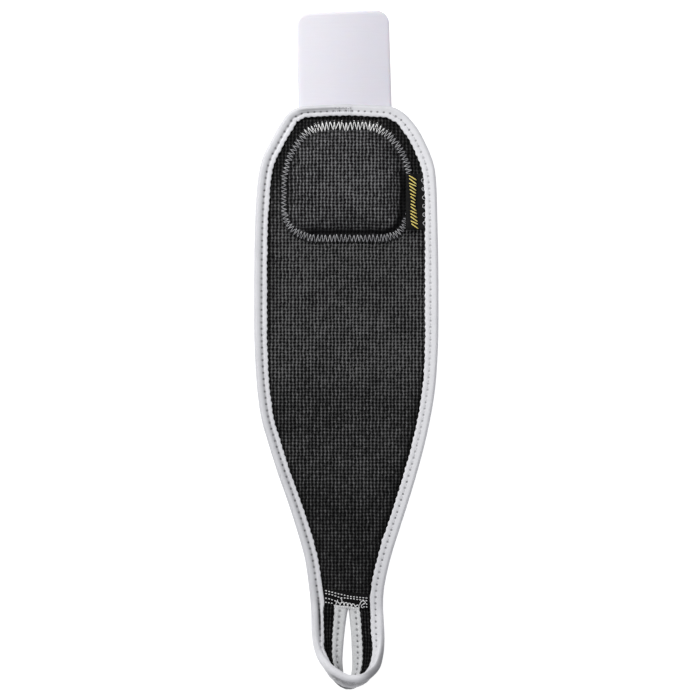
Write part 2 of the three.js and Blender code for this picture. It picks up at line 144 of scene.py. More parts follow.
class Finish:
    """A material and the nodes that paint it."""

    def __init__(self, name, **settings):
        self.material = bpy.data.materials.new(name)
        self.material.use_nodes = True
        self.tree = self.material.node_tree
        self.shader = self.tree.nodes["Principled BSDF"]
        for socket, value in settings.items():
            self.shader.inputs[socket.replace("_", " ")].default_value = value

    def node(self, kind, settings=None, sockets=None, out=0):
        node = self.tree.nodes.new(kind)
        for key, value in (settings or {}).items():
            setattr(node, key, value)
        for key, value in (sockets or {}).items():
            if isinstance(value, Value):
                self.tree.links.new(value.socket, node.inputs[key])
            else:
                node.inputs[key].default_value = value
        return Value(self, node.outputs[out])

    def place(self):
        """Object coordinates, in metres."""
        return self.node("ShaderNodeTexCoord", out="Object")

    def laid(self):
        """The piece's own map, in cells or stitches."""
        return self.node("ShaderNodeUVMap", {"uv_map": "lay"})

    def shade_and_marks(self):
        """How dark the piece is painted at each point, 0 to 1: mostly painted shade, and also needle holes
        and a darker stitched border, as marked on the piece.
        """
        return self.node("ShaderNodeAttribute", {"attribute_name": "shade_and_marks"}, out="Fac")

    def parts(self, vector):
        split = self.node("ShaderNodeSeparateXYZ", sockets={0: vector}).socket.node
        return [Value(self, socket) for socket in split.outputs]

    def stretched(self, vector, factors):
        return self.node("ShaderNodeVectorMath", {"operation": "MULTIPLY"}, {0: vector, 1: factors})

    def noise(self, vector, scale, detail=2.0):
        return self.node("ShaderNodeTexNoise", sockets={"Vector": vector, "Scale": scale, "Detail": detail})

    def each_cell(self, vector):
        """A number from 0 to 1 of its own for each whole cell of a map."""
        cell_number = self.node("ShaderNodeVectorMath", {"operation": "FLOOR"}, {0: vector})
        return self.node("ShaderNodeTexWhiteNoise", {"noise_dimensions": "2D"}, {"Vector": cell_number})

    def blend(self, share, first, second):
        return self.node("ShaderNodeMix", {"data_type": "RGBA"}, {0: share, 6: first, 7: second}, out=2)

    def wear(self, colour, roughness=None, height=None, depth=0.0001):
        """Puts the worked-out colour, roughness and height on the shader."""
        self.tree.links.new(colour.socket, self.shader.inputs["Base Color"])
        if roughness is not None:
            self.tree.links.new(roughness.socket, self.shader.inputs["Roughness"])
        if height is not None:
            bump = self.node("ShaderNodeBump", sockets={"Height": height, "Distance": depth})
            self.tree.links.new(bump.socket, self.shader.inputs["Normal"])
        return self.material


sheet_paper = Finish("white_sheet", Roughness=0.9, Emission_Color=(1, 1, 1, 1), Emission_Strength=0.9)
paper_grain = sheet_paper.noise(sheet_paper.place(), scale=40.0)
sheet_paper.wear(sheet_paper.blend(paper_grain, paint(160, 160, 162), paint(166, 166, 167)))
floor_reach = 6.0
floor_mesh = bpy.data.meshes.new("white_sheet")
floor_corners = [(x * floor_reach, y * floor_reach, 0) for x, y in ((-1, -1), (1, -1), (1, 1), (-1, 1))]
floor_mesh.from_pydata(floor_corners, [], [(0, 1, 2, 3)])
floor_mesh.materials.append(sheet_paper.material)
white_sheet = bpy.data.objects.new("white_sheet", floor_mesh)
scene.collection.objects.link(white_sheet)

# The hook strip: a smooth woven nylon strip with a field of fine moulded hooks on its free end. Its corners
# are rounded, its rim is bare, and its other end is sewn flat under the top of the guard.
strip_width = 46.5
strip_reach = 46.7
strip_sewn = 13.0
strip_thickness = 0.9
strip_corner = 6.5
strip_lean = math.radians(1.8)
strip_shift = -0.6
hook_margin = 1.6  # the bare rim
hook_pitch = 1.15
hook_start = 1.2  # the first row, past the guard's fold
hook_height = 0.5
hook_stem = 0.11
hook_bend = 0.28  # sideways, at the tip
hook_root = 0.1  # in the strip

# Millimetres from the fold of the top edge, the middle of the guard and the panel's underside
top_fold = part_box("edge_binding")[1].y
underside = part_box("mesh_panel")[0].z
middle_line = (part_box("mesh_panel")[0].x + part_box("mesh_panel")[1].x) / 2


def in_frame(points):
    return np.asarray(points, float) / 1000 + (middle_line, top_fold, underside)


def make_piece(name, points, faces, material, laid=None):
    """A mesh from points in millimetres; laid is each point's place on the cloth's own map."""
    mesh = bpy.data.meshes.new(name)
    mesh.from_pydata(in_frame(points).tolist(), [], [tuple(int(i) for i in face) for face in faces])
    if laid is not None:
        corners = np.empty(len(mesh.loops), np.int32)
        mesh.loops.foreach_get("vertex_index", corners)
        layer = mesh.uv_layers.new(name="lay")
        layer.data.foreach_set("uv", np.asarray(laid, np.float32)[corners].ravel())
    made = bmesh.new()
    made.from_mesh(mesh)
    bmesh.ops.recalc_face_normals(made, faces=made.faces)
    made.to_mesh(mesh)
    made.free()
    mesh.polygons.foreach_set("use_smooth", np.ones(len(mesh.polygons), bool))
    mesh.materials.append(material)
    piece = bpy.data.objects.new(name, mesh)
    scene.collection.objects.link(piece)
    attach(piece, "root")
    return piece


def paint_shade_and_marks(piece, amounts):
    """Marks on each point how dark the piece is painted there: mostly painted shade, and also needle holes
    and a darker stitched border.
    """
    layer = piece.data.attributes.new("shade_and_marks", "FLOAT", "POINT")
    layer.data.foreach_set("value", np.asarray(amounts, np.float32).ravel())


def sweep_faces(stations, size, closed):
    """Faces through rows of points that go round a section, closed at both ends or joined in a ring."""
    s = np.arange(stations if closed else stations - 1)[:, None]
    i = np.arange(size)[None]
    j = (i + 1) % size
    t = (s + 1) % stations
    faces = np.stack([s * size + i, s * size + j, t * size + j, t * size + i], axis=2).reshape(-1, 4).tolist()
    if not closed:
        faces.append(list(range(size)))
        faces.append(list(range((stations - 1) * size, stations * size)))
    return faces


def rounded_strip(margin, near):
    """The strip's outline, from its sewn end round the free corners, pulled in by a margin."""
    half = strip_width / 2 - margin
    far = strip_reach - margin
    corner = strip_corner - margin
    turns = np.linspace(0, math.pi / 2, 10)
    right = [(half - corner + corner * math.cos(t), far - corner + corner * math.sin(t)) for t in turns]
    left = [(corner - half - corner * math.sin(t), far - corner + corner * math.cos(t)) for t in turns]
    return np.array([(-half, near), (half, near), *right, *left])


def lean(points):
    turned = np.array(points, float)
    turned[:, 0] = points[:, 0] * math.cos(strip_lean) - points[:, 1] * math.sin(strip_lean) + strip_shift
    turned[:, 1] = points[:, 0] * math.sin(strip_lean) + points[:, 1] * math.cos(strip_lean)
    return turned


hook_nylon = Finish("hook_nylon", Roughness=0.42, Specular_IOR_Level=0.45, Subsurface_Weight=0.12)
hook_nylon.shader.inputs["Subsurface Scale"].default_value = 0.002
across_strip, along_strip, _ = hook_nylon.parts(hook_nylon.place())
nylon_mottle = hook_nylon.noise(hook_nylon.place(), scale=90.0, detail=3.0)
# Painted light: the strip is painted lighter on its left, towards the window, and darker to its right
painted_window_light = (across_strip * 21 + 0.52 + (nylon_mottle - 0.5) * 0.12).step(0.0, 1.0)
strip_colour = hook_nylon.blend(painted_window_light, paint(231, 231, 238), paint(217, 217, 226))
ribs = (along_strip * 1600).wave() * 0.35 + (across_strip * 900).wave() * 0.25 + nylon_mottle * 0.5
hook_nylon.wear(strip_colour, nylon_mottle * 0.2 + 0.34, ribs, depth=0.00005)

# How far the outline is pulled in at each height, from the underside round the rim to the face
strip_levels = [(0.25, 0), (0, 0.22), (0, 0.62), (0.3, strip_thickness), (hook_margin, strip_thickness)]
strip_rows = []
for inward, height in strip_levels:
    rim = lean(rounded_strip(inward, -strip_sewn + inward))
    strip_rows.append(np.column_stack([rim, np.full(len(rim), height)]))
strip_faces = sweep_faces(len(strip_rows), len(strip_rows[0]), False)
hook_strip = make_piece(
    "hook_strip", np.vstack(strip_rows), strip_faces, hook_nylon.material,
)
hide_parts("hook_tab")


class Rig:
    """A Geometry Nodes tree with named inputs, which ends in plain geometry with its finish."""

    def __init__(self, name, **inputs):
        self.tree = bpy.data.node_groups.new(name, "GeometryNodeTree")
        self.tree.interface.new_socket("Points", in_out="INPUT", socket_type="NodeSocketGeometry")
        self.sockets = {}
        kinds = {float: "NodeSocketFloat", int: "NodeSocketInt", type(None): "NodeSocketMaterial"}
        for label, value in inputs.items():
            socket = self.tree.interface.new_socket(label, in_out="INPUT", socket_type=kinds[type(value)])
            if value is not None:
                socket.default_value = value
            self.sockets[label] = socket.identifier
        self.tree.interface.new_socket("Made", in_out="OUTPUT", socket_type="NodeSocketGeometry")
        self.given = self.tree.nodes.new("NodeGroupInput")

    def node(self, kind, settings=None, sockets=None, out=0):
        node = self.tree.nodes.new(kind)
        for key, value in (settings or {}).items():
            setattr(node, key, value)
        for key, value in (sockets or {}).items():
            if isinstance(value, bpy.types.NodeSocket):
                self.tree.links.new(value, node.inputs[key])
            else:
                node.inputs[key].default_value = value
        return node.outputs[out]

    def carried(self, label):
        """A direction that each point carries by name."""
        return self.node("GeometryNodeInputNamedAttribute", {"data_type": "FLOAT_VECTOR"}, {"Name": label})

    def end(self, instances):
        plain = self.node("GeometryNodeRealizeInstances", sockets={0: instances})
        smooth = self.node("GeometryNodeSetShadeSmooth", sockets={0: plain})
        finished = self.node(
            "GeometryNodeSetMaterial", sockets={0: smooth, "Material": self.given.outputs["Finish"]},
        )
        result = self.tree.nodes.new("NodeGroupOutput")
        self.tree.links.new(finished, result.inputs[0])

    def make(self, name, points, attributes, inputs):
        """Runs the tree on points in millimetres and returns the plain piece."""
        seeds = bpy.data.meshes.new(name + "_points")
        seeds.from_pydata(in_frame(points).tolist(), [], [])
        for label, values in attributes.items():
            layer = seeds.attributes.new(label, "FLOAT_VECTOR", "POINT")
            layer.data.foreach_set("vector", np.asarray(values, np.float32).ravel())
        holder = bpy.data.objects.new(name + "_points", seeds)
        scene.collection.objects.link(holder)
        modifier = holder.modifiers.new("rig", "NODES")
        modifier.node_group = self.tree
        for label, value in inputs.items():
            modifier[self.sockets[label]] = value
        grown = holder.evaluated_get(bpy.context.evaluated_depsgraph_get())
        mesh = bpy.data.meshes.new_from_object(grown)
        mesh.name = name
        bpy.data.objects.remove(holder)
        bpy.data.meshes.remove(seeds)
        for label in attributes:
            if label in mesh.attributes:
                mesh.attributes.remove(mesh.attributes[label])
        piece = bpy.data.objects.new(name, mesh)
        scene.collection.objects.link(piece)
        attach(piece, "root")
        return piece


# One hook is a short stem that bends over at its top, turned to either side in alternate rows.
hook_rig = Rig(
    "field_of_hooks", Height=hook_height / 1000, Stem=hook_stem / 1000, Lean=hook_bend / 1000, Finish=None,
)
hook_middle = hook_rig.node("ShaderNodeCombineXYZ", sockets={"Z": hook_rig.given.outputs["Height"]})
hook_tip = hook_rig.node("ShaderNodeCombineXYZ", sockets={"X": hook_rig.given.outputs["Lean"]})
tip_share = 0.8  # of the hook's height
hook_tip = hook_rig.node(
    "ShaderNodeVectorMath", {"operation": "MULTIPLY_ADD"}, {0: hook_middle, 1: (tip_share,) * 3, 2: hook_tip},
)
hook_line = hook_rig.node(
    "GeometryNodeCurveQuadraticBezier",
    sockets={
        "Resolution": 4, "Start": (0, 0, -hook_root / 1000), "Middle": hook_middle, "End": hook_tip,
    },
)
hook_round = hook_rig.node(
    "GeometryNodeCurvePrimitiveCircle", sockets={"Resolution": 5, "Radius": hook_rig.given.outputs["Stem"]},
)
one_hook = hook_rig.node(
    "GeometryNodeCurveToMesh", sockets={"Curve": hook_line, "Profile Curve": hook_round, "Fill Caps": True},
)
hook_turn = hook_rig.node(
    "FunctionNodeAxesToRotation", {"primary_axis": "Z", "secondary_axis": "X"},
    {0: (0, 0, 1), 1: hook_rig.carried("side")},
)
hook_rig.end(hook_rig.node(
    "GeometryNodeInstanceOnPoints",
    sockets={"Points": hook_rig.given.outputs["Points"], "Instance": one_hook, "Rotation": hook_turn},
))

hook_spots = []
hook_sides = []
field_half = strip_width / 2 - hook_margin
field_far = strip_reach - hook_margin
field_corner = strip_corner - hook_margin
half_columns = int(field_half / hook_pitch)
for row in range(int(field_far / hook_pitch)):
    for column in range(-half_columns, half_columns + 1):
        x = (column + 0.5 * (row % 2)) * hook_pitch
        y = hook_start + row * hook_pitch
        past = (max(0, abs(x) - field_half + field_corner), max(0, y - field_far + field_corner))
        if abs(x) < field_half and y < field_far and math.hypot(*past) < field_corner:
            hook_spots.append((x, y, strip_thickness))
            hook_sides.append((1 if row % 2 else -1, 0.25, 0))
hook_spots = np.array(hook_spots)
hook_spots[:, :2] = lean(hook_spots[:, :2])
hooks = hook_rig.make("hooks", hook_spots, {"side": hook_sides}, {"Finish": hook_nylon.material})

# The panel: spacer mesh laminated on foam, with a grid of open cells on the skin side and a brushed loop
# fabric underneath. The edge tape squeezes it all round, and it ends at the seam of the thumb loop.
guard_width = 92.2
top_width = 47.0
top_crown = 1.4
shoulder_length = 80.0
straight_length = 35.0
taper_length = 132.0
neck_width = 36.5
seam_slope = 0.128
seam_height = -shoulder_length - straight_length - taper_length
panel_thickness = 3.2
squeezed_thickness = 3.02  # between the legs of the edge tape
swell_height = 0.22  # beside the tape
billow_height = 0.09  # slow waves all over
seam_dip = 0.25
raw_edge = 3.2  # from the tape's fold to the panel's own edge
strip_room = 0.3  # over the hook strip, which is sewn on underneath
strip_margin = 1.6  # round the strip, before the panel comes down
strip_ramp = 20.0
tape_half = 2.1  # half the thickness of the folded edge tape
tape_width = 6.8
tape_fold = 1.8  # depth of the round of the fold
cell = 1.775  # from hole to hole in the mesh

# Down each side: share of the length, then how far out the left and the right edge have come
shoulder_rows = [
    (0.05, 0.23, 0.22), (0.09, 0.34, 0.37), (0.16, 0.5, 0.56), (0.24, 0.65, 0.71), (0.31, 0.78, 0.82),
    (0.39, 0.87, 0.91), (0.5, 0.93, 0.955), (0.72, 0.98, 0.98), (1, 1, 1),
]
taper_rows = [
    (0, 1, 1), (0.11, 0.98, 0.98), (0.21, 0.945, 0.94), (0.32, 0.87, 0.855), (0.42, 0.735, 0.75),
    (0.53, 0.57, 0.61), (0.635, 0.395, 0.46), (0.74, 0.235, 0.3), (0.85, 0.09, 0.14), (0.95, 0.02, 0.035),
]


def seam_line(x):
    return seam_height - seam_slope * x


def through(knots, shares, closed=False):
    """Places on the smooth line through the cutter's marks, at shares of their number."""
    knots = np.asarray(knots, float)
    shares = np.asarray(shares, float)
    count = len(knots)
    if closed:
        step = np.floor(shares * count).astype(int)
        rest = shares * count - step
        a, b, c, d = (knots[(step + k) % count] for k in (-1, 0, 1, 2))
    else:
        marks = np.vstack([2 * knots[0] - knots[1], knots, 2 * knots[-1] - knots[-2]])
        step = np.minimum(np.floor(shares * (count - 1)).astype(int), count - 2)
        rest = shares * (count - 1) - step
        a, b, c, d = (marks[step + k] for k in range(4))
    spans = [np.sqrt(np.linalg.norm(q - p, axis=1))[:, None] for p, q in ((a, b), (b, c), (c, d))]
    leave = ((b - a) / spans[0] - (c - a) / (spans[0] + spans[1]) + (c - b) / spans[1]) * spans[1]
    meet = ((c - b) / spans[1] - (d - b) / (spans[1] + spans[2]) + (d - c) / spans[2]) * spans[1]
    t = rest[:, None]
    return b + leave * t + (3 * (c - b) - 2 * leave - meet) * t**2 + (2 * (b - c) + leave + meet) * t**3


def run_along(line):
    """How far along a line each of its marks is."""
    return np.concatenate([[0], np.cumsum(np.linalg.norm(np.diff(line, axis=0), axis=1))])


def evenly(line, spacing, closed=False):
    """The same line with marks an even distance apart, and its length."""
    if closed:
        line = np.vstack([line, line[:1]])
    run = run_along(line)
    marks = np.linspace(0, run[-1], max(2, round(run[-1] / spacing) + 1))
    spots = np.column_stack([np.interp(marks, run, line[:, k]) for k in range(line.shape[1])])
    return (spots[:-1] if closed else spots), run[-1]


def unit(vectors):
    return vectors / np.linalg.norm(vectors, axis=-1, keepdims=True)


def edge_knots(column, sign):
    knots = [(sign * top_width / 2, -top_crown)]
    for row in shoulder_rows:
        out = top_width / 2 + (guard_width - top_width) / 2 * row[column]
        knots.append((sign * out, -row[0] * shoulder_length))
    for row in taper_rows:
        out = neck_width / 2 + (guard_width - neck_width) / 2 * row[column]
        knots.append((sign * out, -shoulder_length - straight_length - row[0] * taper_length))
    knots.append((sign * neck_width / 2, seam_line(sign * neck_width / 2)))
    return knots


outline_knots = [
    *edge_knots(2, 1)[::-1], (top_width / 4, -top_crown / 4), (0, 0), (-top_width / 4, -top_crown / 4),
    *edge_knots(1, -1),
]
edge_spacing = 0.55
outline, _ = evenly(through(outline_knots, np.linspace(0, 1, 6000)), edge_spacing)
outline_inwards = np.gradient(outline, axis=0)
outline_inwards = unit(np.column_stack([-outline_inwards[:, 1], outline_inwards[:, 0]]))


def smooth(x):
    x = np.clip(x, 0, 1)
    return x * x * (3 - 2 * x)


def lift(x, y):
    """How far the sewn end of the hook strip raises the panel above it."""
    aside = np.maximum(0, np.abs(x) - strip_width / 2 - strip_margin)
    below = np.maximum(0, -strip_sewn - strip_margin - y)
    by_width = (strip_thickness + strip_room) * (1 - smooth(aside / strip_ramp))
    return by_width * (1 - smooth(below / strip_ramp))


def depth_inside(points, line, inwards):
    """How far inside a line each point lies, and the nearest mark of the line."""
    depths = np.empty(len(points))
    nearest = np.empty(len(points), int)
    for start in range(0, len(points), 3000):
        some = points[start:start + 3000]
        square = ((some[:, None, :] - line[None]) ** 2).sum(axis=2)
        spot = square.argmin(axis=1)
        away = some - line[spot]
        side = np.sign((away * inwards[spot]).sum(axis=1))
        depths[start:start + 3000] = side * np.sqrt(square[np.arange(len(some)), spot])
        nearest[start:start + 3000] = spot
    return depths, nearest


def depth_on_grid(x, y, line, inwards):
    depths, nearest = depth_inside(np.column_stack([x.ravel(), y.ravel()]), line, inwards)
    return depths.reshape(x.shape), nearest


def grid_points(low, high, columns, rows):
    across = np.linspace(low[0], high[0], columns)
    down = np.linspace(low[1], high[1], rows)
    return np.meshgrid(across, down, indexing="ij")


def cloth_slab(kept, block, upper, lower):
    """A closed slab over the kept squares of a grid. Its upper face has block x block faces a square and its
    lower face one. It returns the points, the faces, the number of upper points, and which point each place
    of the fine and the coarse grid is."""
    columns, rows = kept.shape
    fine = -np.ones((columns * block + 1, rows * block + 1), int)
    coarse = -np.ones((columns + 1, rows + 1), int)
    squares = np.argwhere(kept)
    for a in range(block + 1):
        for b in range(block + 1):
            fine[squares[:, 0] * block + a, squares[:, 1] * block + b] = 0
    for a in range(2):
        for b in range(2):
            coarse[squares[:, 0] + a, squares[:, 1] + b] = 0
    fine[fine == 0] = np.arange((fine == 0).sum())
    upper_count = fine.max() + 1
    coarse[coarse == 0] = np.arange((coarse == 0).sum()) + upper_count
    points = np.vstack([upper[fine >= 0], lower[coarse >= 0]])
    faces = []
    for a in range(block):
        for b in range(block):
            i, j = squares[:, 0] * block + a, squares[:, 1] * block + b
            corners = [fine[i, j], fine[i + 1, j], fine[i + 1, j + 1], fine[i, j + 1]]
            faces += np.column_stack(corners).tolist()
    i, j = squares[:, 0], squares[:, 1]
    corners = [coarse[i, j], coarse[i, j + 1], coarse[i + 1, j + 1], coarse[i + 1, j]]
    faces += np.column_stack(corners).tolist()
    around = np.pad(kept, 1)
    for c, r in squares:
        sides = (
            (around[c, r + 1], [(c * block, r * block + k) for k in range(block + 1)], (c, r), (c, r + 1)),
            (around[c + 2, r + 1], [((c + 1) * block, r * block + k) for k in range(block + 1)],
             (c + 1, r), (c + 1, r + 1)),
            (around[c + 1, r], [(c * block + k, r * block) for k in range(block + 1)], (c, r), (c + 1, r)),
            (around[c + 1, r + 2], [(c * block + k, (r + 1) * block) for k in range(block + 1)],
             (c, r + 1), (c + 1, r + 1)),
        )
        for beyond, run, first, last in sides:
            if not beyond:
                faces.append([coarse[first], *[fine[spot] for spot in run], coarse[last]])
    return points, faces, upper_count, fine, coarse


def knit_relief(across, down):
    """How far the face of the mesh sinks at a third of a cell: open holes, low bridges and wavy wales. It
    returns the sink and the sideways sway, for whole thirds counted from a corner of a cell."""
    third_across = np.mod(across, 3)
    third_down = np.mod(down, 3)
    in_hole = (third_across > 0) & (third_down > 0)
    on_bridge = (third_across > 0) & (third_down == 0)
    on_wale = (third_across == 0) & (third_down > 0)
    odd = (across // 3 + down // 3) % 2
    sink = np.where(in_hole, 0.5, np.where(on_bridge, 0.1, np.where(on_wale, 0.06, 0.04 * odd)))
    turn = np.where(odd == 0, 1.0, -1.0)
    lean_over = np.where(third_down == 1, -0.17, 0.17)  # the holes lean to the right
    sway = np.where(third_across == 0, turn * np.where(third_down == 0, 0.1, 0.05), lean_over * in_hole)
    return sink, sway


def knit_finish(name, yarn, shade, web):
    """Black polyester mesh: dark open holes that lean to the right, uneven bright bars where a wale crosses a
    bridge, and a web of duller yarn between them. It is painted darker in two steps down the guard, as
    painted shade, and darker still where the piece is marked with painted shade or a darker border."""
    knit = Finish(name, Roughness=0.8, Specular_IOR_Level=0.06, Sheen_Weight=0.02, Sheen_Roughness=0.5)
    lay = knit.laid()
    across, down, _ = knit.parts(lay)
    drift = knit.noise(knit.stretched(lay, (0.42, 0.42, 0.42)), scale=1.0, detail=3.0) - 0.5
    pull = knit.noise(knit.stretched(lay, (0.31, 0.47, 0.31)), scale=1.0, detail=3.0) - 0.5
    fuzz = knit.noise(knit.place(), scale=2600.0, detail=3.0)
    worn = knit.noise(knit.place(), scale=60.0, detail=3.0)
    _, along_guard, _ = knit.parts(knit.place())
    # Painted light: less of it down the guard, and hardly any where the piece is marked darker, mostly by
    # painted shade
    lit = along_guard.step(-0.026, -0.004) * 0.26 + along_guard.step(-0.084, -0.055) * 0.2 + 0.5
    lit = lit * (1 - knit.shade_and_marks() * 0.9)
    each_hole = knit.each_cell(lay)
    each_cross = knit.each_cell(
        knit.node("ShaderNodeVectorMath", {"operation": "ADD"}, {0: lay, 1: (0.5, 0.5, 0.0)}),
    )
    # The holes are leaning ovals in the middle of the cells, on threads that wander a little
    swayed = across + drift * 0.75
    sunk = down + pull * 0.75
    hole_y = sunk.part() - 0.5
    hole_x = swayed.part() - 0.5 - hole_y * 0.5
    open_reach = hole_x * hole_x * 1.5 + hole_y * hole_y * 0.72
    hole = (open_reach.sum("SQRT", open_reach) + (each_hole - 0.5) * 0.09).step(0.37, 0.18)
    # A bright bar lies over each crossing, and the wales and bridges between them are duller
    cross_x = (swayed + 0.5).part() - 0.5
    cross_y = (sunk + 0.5).part() - 0.5
    slanted = cross_x - cross_y * (drift + 0.28)
    bar = abs(slanted).step(0.24, 0.05) * abs(cross_y).step(0.56, 0.12)
    wale = abs(cross_x).step(0.3, 0.1)
    bridge = abs(cross_y).step(0.3, 0.1)
    uneven = (pull - drift) * 1.7 + 1.0
    net = wale * (each_cross * 0.2 + 0.27) + bridge * (each_hole * 0.2 + 0.15)
    bright = bar * (each_cross * 0.5 + 0.16) * uneven + net * web
    # Fine fuzz and slow worn patches over all of it
    light = (bright + fuzz * 0.16 + worn * 0.3 - 0.17) * lit
    colour = knit.blend(light.step(-0.05, 1.05), shade, yarn)
    colour = knit.blend(hole * (1 - each_hole * 0.2), colour, paint(3, 3, 4))
    height = (1 - hole) * 0.55 + bright * 0.4 + fuzz * 0.2
    return knit.wear(colour, 0.94 - bright * 0.2, height, depth=0.00028)


body_mesh = knit_finish("body_mesh", paint(110, 110, 111), paint(10, 10, 10), web=1.0)

brushed = Finish(
    "brushed_loop", Roughness=0.95, Specular_IOR_Level=0.2, Sheen_Weight=0.35, Sheen_Roughness=0.4,
)
pile = brushed.noise(brushed.stretched(brushed.place(), (1900.0, 900.0, 900.0)), scale=1.0, detail=4.0)
combed = brushed.noise(brushed.stretched(brushed.place(), (160.0, 45.0, 60.0)), scale=1.0, detail=2.0)
pile_light = (pile * 0.8 + combed * 0.7 - 0.3).step(0.1, 0.9)
pile_colour = brushed.blend(pile_light, paint(22, 22, 24), paint(66, 66, 69))
brushed.wear(pile_colour, pile * 0.1 + 0.86, pile + combed * 0.4, depth=0.00035)

panel_columns = 54
panel_rows = 144
first_row = -1.0  # of the cells, from the fold
seam_gap = 0.1
panel_low = (-panel_columns / 2 * cell, first_row - panel_rows * cell)
panel_high = (panel_columns / 2 * cell, first_row)
centre_x, centre_y = grid_points(
    (panel_low[0] + cell / 2, panel_low[1] + cell / 2), (panel_high[0] - cell / 2, panel_high[1] - cell / 2),
    panel_columns, panel_rows,
)
cell_depth, _ = depth_on_grid(centre_x, centre_y, outline, outline_inwards)
above_seam = centre_y - cell / 2 - seam_line(centre_x - cell / 2)
panel_kept = (cell_depth > raw_edge) & (above_seam > seam_gap)


def panel_heights(x, y, depth):
    """The panel's upper and lower face: squeezed by the edge tape with a soft swell beside it, a little wavy,
    thinned at the seam, and raised by the strip."""
    free = smooth((depth - 5.7) / 2.6)
    swell = swell_height * np.exp(-((depth - 9.5) / 2.4) ** 2)
    billow = billow_height * np.sin(x / 11 + np.sin(y / 17) * 1.3) * np.cos(y / 13 + 0.6)
    above_seam = y - seam_line(x)
    top = squeezed_thickness + (panel_thickness - squeezed_thickness + swell + billow) * free
    top = top - seam_dip * (1 - smooth(above_seam / 5))
    up_by_tape = 1.1 * (1 - smooth((depth - 6.3) / 2.4))
    up_by_seam = 0.55 * (1 - smooth(above_seam / 6))
    raised = lift(x, y)
    return top + raised, np.maximum(up_by_tape, up_by_seam) + raised


fine_x, fine_y = grid_points(panel_low, panel_high, panel_columns * 3 + 1, panel_rows * 3 + 1)
fine_depth, _ = depth_on_grid(fine_x, fine_y, outline, outline_inwards)
third_across, third_down = np.meshgrid(
    np.arange(panel_columns * 3 + 1), np.arange(panel_rows * 3 + 1), indexing="ij",
)
panel_top, _ = panel_heights(fine_x, fine_y, fine_depth)
sink, sway = knit_relief(third_across, third_down)
upper = np.stack([fine_x + sway, fine_y, panel_top - sink], axis=2)
coarse_x, coarse_y = fine_x[::3, ::3], fine_y[::3, ::3]
_, panel_low_face = panel_heights(coarse_x, coarse_y, fine_depth[::3, ::3])
lower = np.stack([coarse_x, coarse_y, panel_low_face], axis=2)
points, faces, upper_count, fine_ids, _ = cloth_slab(panel_kept, 3, upper, lower)
lay = np.empty((len(points), 2))
lay[:, 0] = (points[:, 0] - panel_low[0]) / cell
lay[:, 1] = (points[:, 1] - panel_low[1]) / cell
lay[:upper_count, 0] = third_across[fine_ids >= 0] / 3
panel_cloth = make_piece("panel_cloth", points, faces, body_mesh, lay)
panel_face = points[:upper_count]
panel_back_count = len(points) - upper_count
# The cloth is in shade beside the tape, further in by the left shoulder and by the right side of the taper
past_tape = np.maximum(0, fine_depth[fine_ids >= 0] - tape_width)
by_shoulder = smooth((panel_face[:, 1] + 130) / 25) * (panel_face[:, 0] < 0)
by_taper = smooth((-125 - panel_face[:, 1]) / 25) * (panel_face[:, 0] > 0)
further_in = 0.35 * (by_shoulder + by_taper) * np.exp(-(past_tape / 4) ** 2)
by_the_tape = 0.6 * np.exp(-past_tape / 1.1) + further_in
panel_cloth.data.materials.append(brushed.material)


def brush_underside(piece):
    """Gives the faces that look down the brushed fabric."""
    count = len(piece.data.polygons)
    facing = np.empty(count * 3, np.float32)
    piece.data.polygons.foreach_get("normal", facing)
    slots = (facing.reshape(-1, 3)[:, 2] < -0.5).astype(np.int32)
    piece.data.polygons.foreach_set("material_index", slots)


brush_underside(panel_cloth)
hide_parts("mesh_panel")
panel_area = panel_kept.sum() * cell * cell / 1e6

# The thumb strap: a band of the same mesh that goes round the slit for the thumb. It is sewn to the panel at
# the seam, and its tip stands up, because the band is curved like a shallow bowl.
loop_reach = 39.3
rim_height = 14.4
slit_width = 5.0
strap_bulge = 2.8
strap_half = 1.0  # half its thickness
strap_cells = 9  # across the band
strap_end = 0.004  # left out at each end, as a share of the way round
# Across the rim, down and up at the rim, across and down at the slit, and bow, each as a share
loop_rows = np.array([
    (1, 0, 0, 0.4, 0, 0), (1.015, 0.1, 0, 0.4, 0.1, 0), (1.03, 0.23, 0.1, 0.6, 0.225, 0.05),
    (1.04, 0.49, 0.3, 0.93, 0.465, 0.2), (0.985, 0.69, 0.5, 1.08, 0.67, 0.4),
    (0.84, 0.85, 0.75, 1.17, 0.845, 0.7), (0.52, 0.95, 0.93, 0.92, 1, 0.95), (0.1, 0.96, 1, 0.3, 1.07, 1),
    (-0.29, 0.885, 0.94, -0.5, 1.01, 0.95), (-0.625, 0.785, 0.77, -0.78, 0.84, 0.75),
    (-0.825, 0.66, 0.55, -0.62, 0.65, 0.5), (-0.93, 0.475, 0.38, -0.36, 0.46, 0.25),
    (-0.96, 0.237, 0.18, 0.12, 0.22, 0.1), (-0.98, 0.11, 0.03, 0.44, 0.105, 0), (-1, 0, 0, 0.46, 0, 0),
])


def loop_knots(across, down, height):
    from_seam = seam_line(across) * (1 - down) + (seam_height - loop_reach) * down
    return np.column_stack([across, from_seam, height])


rim_heights = tape_half + loop_rows[:, 2] * rim_height
rim_knots = loop_knots(loop_rows[:, 0] * neck_width / 2, loop_rows[:, 1], rim_heights)
slit_knots = loop_knots(loop_rows[:, 3] * slit_width / 2, loop_rows[:, 4], np.full(len(loop_rows), tape_half))


def strap_lengths(shares):
    """How far it is from the rim to the slit, along the band's section."""
    return strap_place(shares, np.zeros((len(shares), 1)), np.zeros((len(shares), 1)))[1]


